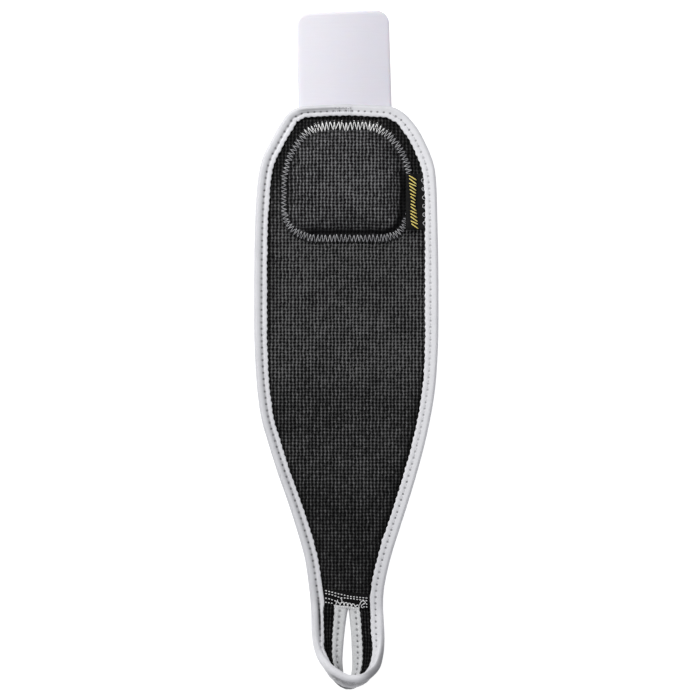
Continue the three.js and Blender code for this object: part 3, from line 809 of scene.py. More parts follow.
def strap_place(shares, inward, up):
    """Places on the band's curved section: inward from the rim, and up on the skin side. It also returns the
    section's length at each share of the way round."""
    shares = np.asarray(shares, float)
    rim = through(rim_knots, shares)
    slit = through(slit_knots, shares)
    ahead = np.minimum(shares + 0.01, 1)
    behind = np.maximum(shares - 0.01, 0)
    along = through(rim_knots, ahead) + through(slit_knots, ahead)
    along = unit(along - through(rim_knots, behind) - through(slit_knots, behind))
    chord = rim - slit
    skin = unit(np.cross(along, chord))
    bow = strap_bulge * np.interp(shares * (len(loop_rows) - 1), np.arange(len(loop_rows)), loop_rows[:, 5])
    steps = np.linspace(0, 1, 25)
    arc = slit[:, None] + chord[:, None] * steps[:, None]
    arc = arc - skin[:, None] * (4 * bow[:, None] * steps * (1 - steps))[:, :, None]
    runs = np.cumsum(np.linalg.norm(np.diff(arc, axis=1), axis=2), axis=1)
    runs = np.column_stack([np.zeros(len(shares)), runs])
    u = np.array([np.interp(run[-1] - row, run, steps) for run, row in zip(runs, inward)])
    spot = slit[:, None] + chord[:, None] * u[:, :, None]
    spot = spot - skin[:, None] * (4 * bow[:, None] * u * (1 - u))[:, :, None]
    slope = chord[:, None] - skin[:, None] * (4 * bow[:, None] * (1 - 2 * u))[:, :, None]
    normal = unit(np.cross(np.broadcast_to(along[:, None], slope.shape), slope))
    return spot + normal * np.asarray(up)[:, :, None], runs[:, -1]


def even_shares(knots, spacing, start=0.0):
    """Shares of the way through the cutter's marks that are an even distance apart."""
    shares = np.linspace(start, 1 - start, 3000)
    run = run_along(through(knots, shares))
    return np.interp(np.linspace(0, run[-1], round(run[-1] / spacing) + 1), run, shares)


middle_knots = (rim_knots + slit_knots) / 2
strap_shares = even_shares(middle_knots, cell / 3, strap_end)
strap_width = strap_lengths(strap_shares) - 2 * tape_fold
across_shares = np.linspace(0, 1, strap_cells * 3 + 1)
strap_inward = tape_fold + across_shares[None] * strap_width[:, None]
across_thirds, along_thirds = np.meshgrid(np.arange(strap_cells * 3 + 1), np.arange(len(strap_shares)))
sink, sway = knit_relief(across_thirds, along_thirds)
strap_top, _ = strap_place(strap_shares, strap_inward + sway * 0.5, strap_half - sink * 0.9)
underneath = np.full((len(strap_shares), strap_cells + 1), -strap_half)
strap_bottom, _ = strap_place(strap_shares, strap_inward[:, ::-3], underneath)
strap_section = np.concatenate([strap_top, strap_bottom], axis=1)
strap_lay = np.stack([
    np.concatenate([across_thirds, across_thirds[:, ::-3]], axis=1) / 3,
    np.concatenate([along_thirds, along_thirds[:, ::-3]], axis=1) / 3,
], axis=2)
faces = sweep_faces(len(strap_shares), strap_section.shape[1], False)
# A darker copy of the panel's mesh: painted shade on the strap
strap_mesh_shaded = knit_finish("strap_mesh_shaded", paint(78, 78, 79), paint(6, 6, 6), web=0.8)
strap_cloth = make_piece(
    "strap_cloth", strap_section.reshape(-1, 3), faces, strap_mesh_shaded, strap_lay.reshape(-1, 2),
)
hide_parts("thumb_strap")
strap_run = run_along(through(middle_knots, strap_shares))[-1]

# The edge tape: one white polyester tape folded over the raw edge, all round the panel and on along the rim
# of the loop, sewn through with one row of stitches. Its two ends overlap at the middle of the top.
stitch_row = 4.0  # from the fold
stitch_pitch = 3.15
thread_white = 0.36
groove_depth = 0.8  # where the tape is pressed hardest
pit_depth = 0.27
belly_height = 0.13  # of the tape inside the stitches, between two holes
lap_from = -6.6
lap_to = 2.9
lap_height = 0.32
lap_rows = (2.0, 3.4)  # from the fold
press_reach = 20  # marks over which the machine's pressure changes


def tape_profile():
    """The folded tape's section as inward and up, round the outside and back round the inside, with a mask of
    its outside."""
    inner_zone = [
        (0, 0.62), (0.03, 0.86), (0.2, 0.98), (0.5, 1.0), (1.0, 1.0), (1.45, 1.0), (1.8, 1.0), (2.1, 1.0),
    ]
    by_the_row = [0.4, 0.17, 0, -0.17, -0.4, -0.8, -1.3, -1.75]
    outer = [(tape_width - x, z) for x, z in inner_zone] + [(stitch_row + x, 1.0) for x in by_the_row]
    upper = [(x, tape_half * z) for x, z in outer]
    for turn in np.linspace(0, math.pi, 15):
        upper.append((tape_fold * (1 - math.sin(turn)), tape_half * math.cos(turn)))
    lower = [(x, -z) for x, z in upper[len(outer) - 1::-1]]
    inside = [(6.6, 0.6), (5.3, 0.6), (4.0, 0.6), (1.8, 0.6), (1.1, 0.45), (0.8, 0.0)]
    inner = [(x, -tape_half * z) for x, z in inside] + [(x, tape_half * z) for x, z in inside[-2::-1]]
    profile = np.array(upper + lower + inner)
    outside = np.arange(len(profile)) < len(upper) + len(lower)
    return profile[:, 0], profile[:, 1], outside


profile_inward, profile_up, profile_outside = tape_profile()
tape_size = len(profile_inward)


def folded_tape(stations, needle, pull, lap, press):
    """Inward and up for each station of a sewn tape, and the painted shade in its groove: a soft groove along
    the stitches, as deep and as shaded as it is pressed, a pucker at each needle hole, a wavy inner edge, and
    a second layer at the lap."""
    inward = np.tile(profile_inward, (stations, 1))
    up = np.tile(profile_up, (stations, 1))
    leg = np.sign(up) * profile_outside
    slope = np.clip((inward - 0.9) / (stitch_row - 0.9), 0, 1) ** 1.25
    groove = np.where(inward <= stitch_row, slope, 1 - smooth((inward - stitch_row) / 0.95))
    pit = np.exp(-((inward - stitch_row) / 0.42) ** 2) * (inward > 1.2)
    belly = np.sin(np.clip((inward - 4.4) / 2.4, 0, 1) * math.pi) * (1.25 - needle[:, None])
    sunk = groove * np.minimum(press, groove_depth)[:, None]
    sunk = sunk + pit * needle[:, None] * pit_depth - belly * belly_height
    from_row = inward - stitch_row
    dark = np.exp(-(from_row / np.where(from_row < 0, 1.15, 0.5)) ** 2) * (leg > 0)
    dark = dark * np.clip(press[:, None] * 1.5 - 0.6, 0, 1)
    # The inside of the tape sinks with its face
    inner_face = np.sign(up) * (1 - profile_outside) * (inward > 1.2)
    up = up - leg * sunk - inner_face * np.maximum(sunk, 0) * 0.6 + leg * lap[:, None] * lap_height
    inner_edge = np.clip((inward - 5.5) / 1.3, 0, 1)
    inward = inward + inner_edge * pull[:, None] - lap[:, None] * 0.15 * (1 - inner_edge) * profile_outside
    return inward, up, dark


def count_stitches(line, pitch, closed):
    """Stitch numbers along a line: a whole number of even stitches from end to end."""
    if closed:
        line = np.vstack([line, line[:1]])
    run = run_along(line)
    total = round(run[-1] / pitch)
    return run / run[-1] * total, total


def tape_finish(name, light, shade, speckle, needle, row_end):
    """Woven tape: fine ribs across, a faint grey mottle, and a dark needle hole at each stitch, which shows
    as far down the guard as row_end. The holes are uneven, and fainter on the far right of the guard."""
    tape = Finish(name, Roughness=0.55, Specular_IOR_Level=0.4, Sheen_Weight=0.08)
    along, across, _ = tape.parts(tape.laid())
    mottle = tape.noise(tape.place(), scale=130.0, detail=4.0)
    fibres = tape.noise(tape.place(), scale=1500.0, detail=3.0)
    # The needle holes: round, a little uneven in size and in darkness
    hole_along = (along + 0.5).part() - 0.5
    hole_across = abs(across) - stitch_row
    spread = hole_along * hole_along * stitch_pitch ** 2 + hole_across * hole_across
    spread = spread.sum("SQRT", spread)
    one_stitch_each = tape.node(
        "ShaderNodeTexWhiteNoise", {"noise_dimensions": "1D"}, {"W": (along + 0.5).sum("FLOOR", along + 0.5)},
    )
    across_guard, along_guard, _ = tape.parts(tape.place())
    hole = (spread * (1 / needle) + (fibres - 0.5) * 0.3 + one_stitch_each * 0.14).step(0.74, 0.26)
    hole = hole * (one_stitch_each * 0.45 + 0.55) * along_guard.step(row_end, row_end + 0.004)
    hole = hole * (1 - across_guard.step(0.03, 0.036) * 0.35)
    ribs = (across * 1.9).wave() * 0.35 + (along * 6).wave() * 0.4
    soiled = (mottle * 0.8 + fibres * 0.45 - 0.3).step(0.25, 0.75)
    colour = tape.blend(soiled * speckle, light, shade)
    # Painted light on the right side of the panel, and painted shade along the fold
    painted_light_right = across_guard.step(0.01, 0.035) * along_guard.step(-0.12, -0.09)
    colour = tape.blend(painted_light_right * 0.45, colour, paint(246, 246, 249))
    painted_fold_shade = abs(across).step(1.7, 0.4) * along_guard.step(-0.148, -0.125)
    colour = tape.blend(painted_fold_shade * 0.3, colour, paint(150, 150, 155))
    # Painted shade on the fold on the right of the loop's tip, and speckled painted shade on the lower leg,
    # which faces down and shows there too
    right_of_tip = across_guard.step(0.004, 0.013) * along_guard.step(-0.130, -0.154)
    rim_shade = across.step(1.5, -0.2) * right_of_tip
    colour = tape.blend(rim_shade * 0.75, colour, paint(84, 84, 88))
    lower_leg_shade = across.step(-1.3, -2.6) * (mottle * 0.5 + fibres * 0.9 - 0.25).step(0.0, 0.6)
    lower_leg_shade = lower_leg_shade * across_guard.step(-0.0115, -0.005) * (across.step(-3.8, -4.8) * -0.6 + 1)
    colour = tape.blend(lower_leg_shade * 0.85, colour, paint(104, 104, 106))
    colour = tape.blend(ribs * 0.1, colour, shade)
    # Painted shade at the tip of the loop, greyer patches across the top, and the painted shade and needle
    # holes marked on the piece
    colour = tape.blend(along_guard.step(-0.152, -0.170) * 0.15, colour, paint(172, 172, 177))
    colour = tape.blend(along_guard.step(0.108, 0.121) * mottle * 0.5, colour, paint(172, 172, 177))
    colour = tape.blend(tape.shade_and_marks() * 0.85, colour, paint(62, 62, 66))
    colour = tape.blend(hole * 0.9, colour, paint(36, 36, 40))
    height = ribs * 0.35 + fibres * 0.35 - hole * 0.7
    return tape.wear(colour, fibres * 0.18 + 0.48, height, depth=0.00013)


def panel_edge_place(inward, up):
    """Places on the panel's bound edge, for the outline's own marks."""
    flat = outline[:, None, :] + outline_inwards[:, None, :] * inward[:, :, None]
    height = tape_half + lift(flat[:, :, 0], flat[:, :, 1]) + up
    return np.concatenate([flat, height[:, :, None]], axis=2)


def joined_up(panel, loop, fill):
    """The panel's marks, then the loop's, with blended marks over both joints."""
    blend = np.linspace(0, 1, fill + 2)[1:-1].reshape(-1, *([1] * (panel.ndim - 1)))
    return np.concatenate([
        panel, panel[-1:] * (1 - blend) + loop[:1] * blend, loop, loop[-1:] * (1 - blend) + panel[:1] * blend,
    ])


loop_shares = even_shares(rim_knots, edge_spacing)[::-1]
skip = 5  # marks left out on each side of a joint of the panel's edge and the loop's rim
fill = 9  # and blended ones put in their place
joint_reach = 14  # marks that are smoothed on each side of it
ease_rounds = 12
level = np.zeros((len(outline), 1))
panel_row = panel_edge_place(level + stitch_row, level)[skip:-skip, 0]
level = np.zeros((len(loop_shares), 1))
loop_row = strap_place(loop_shares, level + stitch_row, level)[0][skip:-skip, 0]
stitch_numbers, edge_total = count_stitches(joined_up(panel_row, loop_row, fill), stitch_pitch, True)
edge_numbers = stitch_numbers[:-1]


def hole_share(numbers):
    """1 at a needle hole, 0 between two."""
    off = np.abs(numbers - np.round(numbers))
    return np.exp(-(off / 0.13) ** 2)


def scallop(numbers, seed):
    """How far the raw edge bulges inwards, most between two holes, and a little uneven."""
    wander = np.random.default_rng(seed).normal(0, 1, int(numbers.max()) + 3)
    slow = np.interp(numbers, np.arange(len(wander)), wander)
    return 0.2 * np.cos(2 * math.pi * numbers) + 0.1 * slow


panel_marks = len(outline) - 2 * skip
loop_marks = len(loop_shares) - 2 * skip
on_rim = slice(panel_marks + fill, panel_marks + fill + loop_marks)
edge_x, edge_y = outline[skip:-skip].T
edge_lap = np.zeros(len(edge_numbers))
edge_lap[:panel_marks] = smooth((edge_x - lap_from) / 0.5) * smooth((lap_to - edge_x) / 0.5) * (edge_y > -10)
# The machine pressed the tape more and more from the guard's right side to its left one, hardly at all on
# the right side of the loop, and hardest on the left side of the loop
from_left = np.clip(0.5 - edge_x / 30, 0, 1)
edge_press = np.full(len(edge_numbers), 0.3)
edge_press[:panel_marks] = 0.07 + 0.7 * smooth(from_left)
loop_run = loop_shares[skip:-skip]
left_leg = smooth((loop_run - 0.735) / 0.06)
edge_press[on_rim] = 0.1 + 1.1 * left_leg
window = 2 * press_reach + 1
edge_press = np.concatenate([edge_press[-press_reach:], edge_press, edge_press[:press_reach]])
edge_press = np.convolve(edge_press, np.full(window, 1 / window), "valid")
inward, up, edge_shade_and_holes = folded_tape(
    len(edge_numbers), hole_share(edge_numbers), scallop(edge_numbers, 3), edge_lap, edge_press,
)
# It came out of the folder narrower across the top, beside the label, down the taper and, on its upper leg,
# round the tip of the loop. It is wider at the top corners, half way down the right side, and on the left of
# the loop.
across_top = smooth((edge_y + 9) / 7)
beside_label = np.exp(-((edge_y + 50) / 16) ** 2) * (edge_x > 0)
half_way = np.exp(-((edge_y + 98) / 30) ** 2) * (edge_x > 0)
down_taper = np.exp(-((edge_y + 172) / 42) ** 2)
corner = np.exp(-((np.abs(edge_x) - 26) / 2.8) ** 2) * (edge_y > -12)
width_share = np.full(len(edge_numbers), 0.975)
width_share[:panel_marks] += 0.03 * half_way - 0.13 * across_top - 0.07 * beside_label - 0.06 * down_taper
width_share[:panel_marks] += 0.13 * corner
width_share[on_rim] += 0.08 * left_leg
inward = inward * width_share[:, None]
round_tip = np.zeros(len(edge_numbers))
round_tip[on_rim] = smooth((0.33 - np.abs(loop_run - 0.5)) / 0.12)
round_tip[on_rim] += 0.5 * np.exp(-((loop_run - 0.72) / 0.04) ** 2)
inward = np.where(up > 0, inward * (1 - 0.24 * round_tip[:, None]), inward)
# On the left side of the loop little of the tape is left inside its stitches
beyond_row = np.maximum(0, inward[on_rim] - stitch_row) * (up[on_rim] > 0)
trimmed = 0.4 * smooth((0.945 - loop_run) / 0.075) * left_leg
inward[on_rim] -= trimmed[:, None] * beyond_row
# Its groove takes more painted shade there
edge_shade_and_holes[on_rim] *= 1 + 0.35 * left_leg[:, None]
# A line of painted shade runs near the fold on the left half of the top, over the hook strip
shade_line_span = across_top * smooth((2 - edge_x) / 6) * smooth((edge_x + 27) / 6)
shade_line_across = np.exp(-((inward[:panel_marks] - 2.1) / 0.6) ** 2) * (up[:panel_marks] > 0.5)
edge_shade_and_holes[:panel_marks] = np.maximum(edge_shade_and_holes[:panel_marks], 0.6 * shade_line_span[:, None] * shade_line_across)
# Close needle holes in two rows show where the ends of the tape overlap
every_other = (np.arange(len(edge_numbers)) % 2)[:, None] * (edge_lap[:, None] > 0.5) * (up > 0.5)
lap_holes = sum(np.exp(-((inward - row) / 0.4) ** 2) for row in lap_rows)
edge_shade_and_holes = np.maximum(edge_shade_and_holes, 0.9 * every_other * np.clip(lap_holes, 0, 1))
full_inward = np.zeros((len(outline), inward.shape[1]))
full_up = np.zeros_like(full_inward)
full_inward[skip:-skip] = inward[:panel_marks]
full_up[skip:-skip] = up[:panel_marks]
on_panel = panel_edge_place(full_inward, full_up)[skip:-skip]
on_loop, _ = strap_place(loop_shares[skip:-skip], inward[on_rim], up[on_rim])
edge_places = joined_up(on_panel, on_loop, fill)


def ease_joint(places, joint, reach):
    """Smooths the run of a closed sweep on both sides of a joint."""
    count = len(places)
    marks = np.arange(joint - reach, joint + reach) % count
    run = places[marks]
    first, last = run[:1], run[-1:]
    for _ in range(ease_rounds):
        spread = np.concatenate([first, run, last])
        run = (spread[:-2] + 2 * spread[1:-1] + spread[2:]) / 4
        run[0], run[-1] = first[0], last[0]
    eased = places.copy()
    eased[marks] = run
    return eased


def tape_lay(numbers):
    """Each point's place on the tape: the number of the stitch, and how far it is from the fold, which is
    below zero on the lower leg."""
    across = profile_inward * np.where(profile_up < 0, -1, 1)
    along = np.repeat(numbers[:, None], tape_size, axis=1)
    return np.stack([along, np.tile(across, (len(numbers), 1))], axis=2).reshape(-1, 2)


edge_places = ease_joint(edge_places, panel_marks + fill // 2, joint_reach)
edge_places = ease_joint(edge_places, -fill // 2, joint_reach)
edge_faces = sweep_faces(len(edge_places), tape_size, True)
white_tape = tape_finish(
    "white_tape", paint(226, 226, 230), paint(188, 188, 193), speckle=0.5, needle=1.25, row_end=-0.151,
)
edge_tape = make_piece(
    "edge_tape", edge_places.reshape(-1, 3), edge_faces, white_tape, tape_lay(edge_numbers),
)


def close_map(piece, total):
    """Carries the stitch count over the mark where a closed tape starts."""
    layer = piece.data.uv_layers["lay"].data
    flat = np.empty(len(layer) * 2, np.float32)
    layer.foreach_get("uv", flat)
    corners = flat.reshape(-1, 4, 2)
    wrapped = corners[:, :, 0].max(axis=1) - corners[:, :, 0].min(axis=1) > total / 2
    corners[wrapped, :, 0] += np.where(corners[wrapped, :, 0] < total / 2, total, 0)
    layer.foreach_set("uv", corners.ravel())


close_map(edge_tape, edge_total)
paint_shade_and_marks(edge_tape, edge_shade_and_holes)
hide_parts("edge_binding")

# The stitches: each is a short length of polyester thread that lies in the groove and dips into a hole at
# both ends. One tree sews every row on the guard, with the thread's thickness, rise and dip as its inputs.
thread_sides = 7
stitch_segments = 8
end_steepness = 5.0
end_thinning = 0.45
hole_margin = 0.2  # from a hole to where the thread comes up, as a share of a stitch
stitch_rig = Rig("row_of_stitches", Thread=thread_white / 1000, Rise=0.5, Dip=0.9, Finish=None)
rod = stitch_rig.node(
    "GeometryNodeMeshCylinder", {"fill_type": "NGON"},
    {"Vertices": thread_sides, "Side Segments": stitch_segments, "Radius": 0.5, "Depth": 1.0},
)
rod = stitch_rig.node("GeometryNodeTransform", sockets={0: rod, "Rotation": (0, math.pi / 2, 0)})
rod_place = stitch_rig.node("GeometryNodeInputPosition")
rod_parts = stitch_rig.tree.nodes.new("ShaderNodeSeparateXYZ")
stitch_rig.tree.links.new(rod_place, rod_parts.inputs[0])
rod_x, rod_y, rod_z = rod_parts.outputs


def rig_sum(operation, first, second):
    return stitch_rig.node("ShaderNodeMath", {"operation": operation}, {0: first, 1: second})


# Height along the stitch: risen in the middle, and down steeply at the two ends, where it also thins
end_share = rig_sum("MULTIPLY", rig_sum("ABSOLUTE", rod_x, 0.0), 2.0)
end_drop = rig_sum("POWER", end_share, end_steepness)
middle_rise = rig_sum("SUBTRACT", 1.0, rig_sum("MULTIPLY", end_share, end_share))
thinner = rig_sum("SUBTRACT", 1.0, rig_sum("MULTIPLY", end_drop, end_thinning))
height = rig_sum(
    "SUBTRACT", rig_sum("MULTIPLY", middle_rise, stitch_rig.given.outputs["Rise"]),
    rig_sum("MULTIPLY", end_drop, stitch_rig.given.outputs["Dip"]),
)
bent_place = stitch_rig.node(
    "ShaderNodeCombineXYZ",
    sockets={
        "X": rod_x, "Y": rig_sum("MULTIPLY", rod_y, thinner),
        "Z": rig_sum("ADD", rig_sum("MULTIPLY", rod_z, thinner), height),
    },
)
one_stitch = stitch_rig.node("GeometryNodeSetPosition", sockets={0: rod, "Position": bent_place})
along_stitch = stitch_rig.carried("along")
stitch_turn = stitch_rig.node(
    "FunctionNodeAxesToRotation", {"primary_axis": "X", "secondary_axis": "Z"},
    {0: along_stitch, 1: stitch_rig.carried("outward")},
)
stitch_length = stitch_rig.node(
    "ShaderNodeVectorMath", {"operation": "LENGTH"}, {0: along_stitch}, out="Value",
)
stitch_scale = stitch_rig.node(
    "ShaderNodeCombineXYZ",
    sockets={
        "X": stitch_length, "Y": stitch_rig.given.outputs["Thread"], "Z": stitch_rig.given.outputs["Thread"],
    },
)
stitch_rig.end(stitch_rig.node(
    "GeometryNodeInstanceOnPoints",
    sockets={
        "Points": stitch_rig.given.outputs["Points"], "Instance": one_stitch,
        "Rotation": stitch_turn, "Scale": stitch_scale,
    },
))


def thread_finish(name, light, shade, painted_light_above=None):
    """Twisted polyester thread, a little shiny, with a few grey fibres. Above a place along the guard, given
    in
    metres, it may be painted white: painted light where the window falls on it."""
    thread = Finish(name, Roughness=0.45, Specular_IOR_Level=0.45, Sheen_Weight=0.1)
    twist = thread.noise(thread.place(), scale=2200.0, detail=2.0)
    shadow = thread.noise(thread.place(), scale=260.0, detail=2.0)
    colour = thread.blend((twist * 0.7 + shadow * 0.6 - 0.3).step(0.15, 0.75), shade, light)
    if painted_light_above is not None:
        _, along_guard, _ = thread.parts(thread.place())
        colour = thread.blend(along_guard.step(painted_light_above, painted_light_above + 0.006), colour, paint(252, 252, 252))
    return thread.wear(colour, twist * 0.2 + 0.36, twist, depth=0.00006)


white_thread = thread_finish("white_thread", paint(238, 238, 240), paint(196, 196, 200))


def sew(name, starts, ends, outward, thickness, rise, dip, finish):
    """Sews one stitch from each start to its end, all in millimetres."""
    starts, ends = np.asarray(starts, float), np.asarray(ends, float)
    outward = np.broadcast_to(np.asarray(outward, float), starts.shape)
    piece = stitch_rig.make(
        name, (starts + ends) / 2, {"along": (ends - starts) / 1000, "outward": outward},
        {"Thread": thickness / 1000, "Rise": rise, "Dip": dip, "Finish": finish},
    )
    return piece


def row_places(places, numbers, column, wanted):
    """Places on a swept tape at stitch numbers, with the way out of the cloth there."""
    line = places[:, column]
    aside = places[:, column + 2] - places[:, column - 2]
    spots = np.column_stack([np.interp(wanted, numbers, line[:, k]) for k in range(3)])
    run = np.gradient(line, axis=0)
    out = unit(np.cross(run, aside))
    outs = unit(np.column_stack([np.interp(wanted, numbers, out[:, k]) for k in range(3)]))
    return spots, outs


def tape_column(inward, leg):
    """Which point of the section is nearest to a row on the outside of the upper leg, 1, or the lower, -1."""
    return int(np.argmin(np.abs(profile_inward - inward) + (profile_up * leg < 1.9) * 9))


def tape_rows(places, numbers, first, last, press):
    """Starts, ends and ways out of one row on each leg of a folded tape, from hole to hole. The thread sinks
    out of sight where the upper leg is pressed hard."""
    upper = tape_column(stitch_row, 1)
    lower = tape_column(stitch_row, -1)
    starts, ends, outs = [], [], []
    for leg, away in ((upper, lower), (lower, upper)):
        a, _ = row_places(places, numbers, leg, np.arange(first, last) + hole_margin)
        b, _ = row_places(places, numbers, leg, np.arange(first, last) + (1 - hole_margin))
        through_tape, _ = row_places(places, numbers, away, np.arange(first, last) + (1 - hole_margin))
        out = unit(b - through_tape)
        buried = np.interp(np.arange(first, last) + 0.5, numbers, press)[:, None] * 0.5 * (leg == upper)
        a = a - out * buried
        b = b - out * buried
        starts.append(a)
        ends.append(b)
        outs.append(out)
    return np.vstack(starts), np.vstack(ends), np.vstack(outs)


starts, ends, outs = tape_rows(edge_places, edge_numbers, 1, edge_total - 1, edge_press)
sew("edge_stitches", starts, ends, outs, thread_white, rise=0.15, dip=1.0, finish=white_thread)

# The lap's stitches: where the ends of the tape overlap, a second row of close stitches of the same thread
# runs nearer the fold. Its sizes along the row are in stitches of the long one.
lap_row = 2.1  # from the fold
lap_margin = 0.2
lap_pitch = 0.56
lap_stitch = 0.34
lap_marks = np.flatnonzero(edge_lap > 0.5)
lap_column = tape_column(lap_row, 1)
lap_numbers = np.arange(
    edge_numbers[lap_marks[0]] + lap_margin, edge_numbers[lap_marks[-1]] - lap_margin, lap_pitch,
)
starts, _ = row_places(edge_places, edge_numbers, lap_column, lap_numbers)
ends, _ = row_places(edge_places, edge_numbers, lap_column, lap_numbers + lap_stitch)
sew("lap_stitches", starts, ends, (0, 0, 1), thread_white, rise=0.4, dip=0.8, finish=white_thread)

# The slit tape: the same tape in silver grey, folded over both sides of the thumb slit in one run. Its ends
# are caught under a thick zigzag at the seam.
slit_pitch = 2.9
slit_press = 0.16
slit_spacing = 0.5
bowl_from = -274.0  # where the tape goes down into the bowl of the loop
joint_width = 7.0  # of the tape over the joint of the panel and the strap
joint_gap = 0.3
slit_start = (joint_width / 2 + joint_gap) / loop_reach / (loop_rows[1, 4] * (len(loop_rows) - 1))
slit_shares = even_shares(slit_knots, slit_spacing, slit_start)
slit_lengths = strap_lengths(slit_shares)
slit_line, _ = strap_place(slit_shares, (slit_lengths - stitch_row)[:, None], np.zeros((len(slit_shares), 1)))
slit_numbers, slit_total = count_stitches(slit_line[:, 0], slit_pitch, False)
inward, up, _ = folded_tape(
    len(slit_shares), hole_share(slit_numbers), scallop(slit_numbers, 8), np.zeros(len(slit_shares)),
    np.full(len(slit_shares), slit_press),
)
# It widens from its right end to its left one
slit_width_share = 0.85 + 0.11 * smooth(slit_shares / 0.5) + 0.13 * smooth((slit_shares - 0.82) / 0.16)
inward = inward * slit_width_share[:, None]
slit_places, _ = strap_place(slit_shares, slit_lengths[:, None] - inward, up)
silver_tape = tape_finish(
    "silver_tape", paint(222, 223, 224), paint(158, 159, 162), speckle=0.8, needle=1.5, row_end=-0.2,
)
slit_tape = make_piece(
    "slit_tape", slit_places.reshape(-1, 3), sweep_faces(len(slit_shares), tape_size, False), silver_tape,
    tape_lay(slit_numbers),
)
# Its left side is in the shade at the bottom of the bowl
in_the_bowl = smooth((bowl_from - slit_places[:, :, 1]) / 10) * smooth(-slit_places[:, :, 0] / 2)
paint_shade_and_marks(slit_tape, 0.5 * in_the_bowl)
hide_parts("slit_binding")
starts, ends, outs = tape_rows(slit_places, slit_numbers, 1, slit_total - 1, np.zeros(len(slit_numbers)))
sew("slit_stitches", starts, ends, outs, thread_white, rise=0.15, dip=1.0, finish=white_thread)

# The joint tape: a smooth black tape over the joint of the panel and the strap, on both faces. Four rows of
# white stitches run along it, and a thick zigzag holds the ends of the slit tape.
joint_half = neck_width / 2 - tape_width - 0.9  # half of what shows
joint_tuck = 2.2  # under the edge tape, at each end
joint_thickness = 0.85
joint_under_thickness = 0.45
joint_steps = 44
joint_across = np.linspace(-joint_half - joint_tuck, joint_half + joint_tuck, joint_steps)
# Round the tape's section: across, and up, as shares of half its width and of its thickness
joint_rows = [(-1.0, 0.0), (-1.0, 0.6), (-0.93, 0.85), (-0.5, 0.95), (0, 0.93), (0.5, 0.95), (0.93, 0.85),
              (1.0, 0.6), (1.0, 0.0), (0.5, 0.0), (0, 0.0), (-0.5, 0.0)]


def joint_strip(bottom, thickness, half_width):
    points = []
    for k, x in enumerate(joint_across):
        ripple = 0.05 * math.sin(k * 1.9) + 0.03 * math.sin(k * 0.7)
        for side, height in joint_rows:
            y = seam_line(x) + side * (half_width + ripple)
            points.append((x, y, bottom + height * (thickness + ripple * 0.6)))
    return np.array(points)


smooth_black = Finish("smooth_black", Roughness=0.6, Specular_IOR_Level=0.08)
fine_grain = smooth_black.stretched(smooth_black.place(), (300.0, 1900.0, 1000.0))
fine_grain = smooth_black.noise(fine_grain, scale=1.0, detail=3.0)
smooth_black.wear(
    smooth_black.blend(fine_grain, paint(3, 3, 3), paint(18, 18, 19)), fine_grain * 0.3 + 0.4,
    fine_grain, depth=0.00006,
)
upper_strip = joint_strip(panel_thickness, joint_thickness, joint_width / 2)
lower_strip = joint_strip(0.02, joint_under_thickness, joint_width / 2 + 0.4)
strip_mesh_faces = sweep_faces(joint_steps, len(joint_rows), False)
second = [[i + len(upper_strip) for i in face] for face in strip_mesh_faces]
joint_tape = make_piece(
    "joint_tape", np.vstack([upper_strip, lower_strip]), strip_mesh_faces + second, smooth_black.material,
)
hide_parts("seam_tape")

bright_thread = thread_finish("bright_thread", paint(254, 254, 254), paint(214, 214, 216))
seam_thread = 0.6
seam_pitch = 1.56
seam_thread_rise = 0.03  # over the joint tape
seam_stitch_ends = (0.22, 0.8)  # as shares of the way from hole to hole
# How far above the seam each row of stitches runs, at shares of the way across, and where it is interrupted
seam_rows = [
    ([(0, 2.75), (0.2, 2.2), (0.45, 1.6), (0.6, 1.3), (1, 1.6)], (0, 1)),
    ([(0, 1.3), (0.2, 0.95), (0.36, 0.1), (0.6, 0.35), (1, 0.25)], (0, 1)),
    ([(0, -1.0), (0.14, -1.3), (0.28, -2.0)], (0, 0.28)),
    ([(0.86, -1.2), (1, -1.45)], (0.88, 1)),
    ([(0, -3.1), (0.2, -3.25)], (0, 0.2)),
    ([(0.86, -3.0), (1, -2.8)], (0.88, 1)),
]
starts, ends = [], []
seam_reach = joint_half + 0.3
for marks, (from_share, to_share) in seam_rows:
    length = (to_share - from_share) * 2 * seam_reach
    count = max(2, round(length / seam_pitch))
    for i in range(count):
        ends_of_stitch = []
        for k in seam_stitch_ends:
            share = from_share + (to_share - from_share) * (i + k) / count
            x = -seam_reach + 2 * seam_reach * share
            above = np.interp(share, [m[0] for m in marks], [m[1] for m in marks])
            over_rim = max(0, abs(above) - 3.0)
            height = panel_thickness + joint_thickness + seam_thread_rise - 0.3 * over_rim
            ends_of_stitch.append((x, seam_line(x) + above, height))
        starts.append(ends_of_stitch[0])
        ends.append(ends_of_stitch[1])
sew("seam_stitches", starts, ends, (0, 0, 1), seam_thread, rise=0.25, dip=0.4, finish=bright_thread)

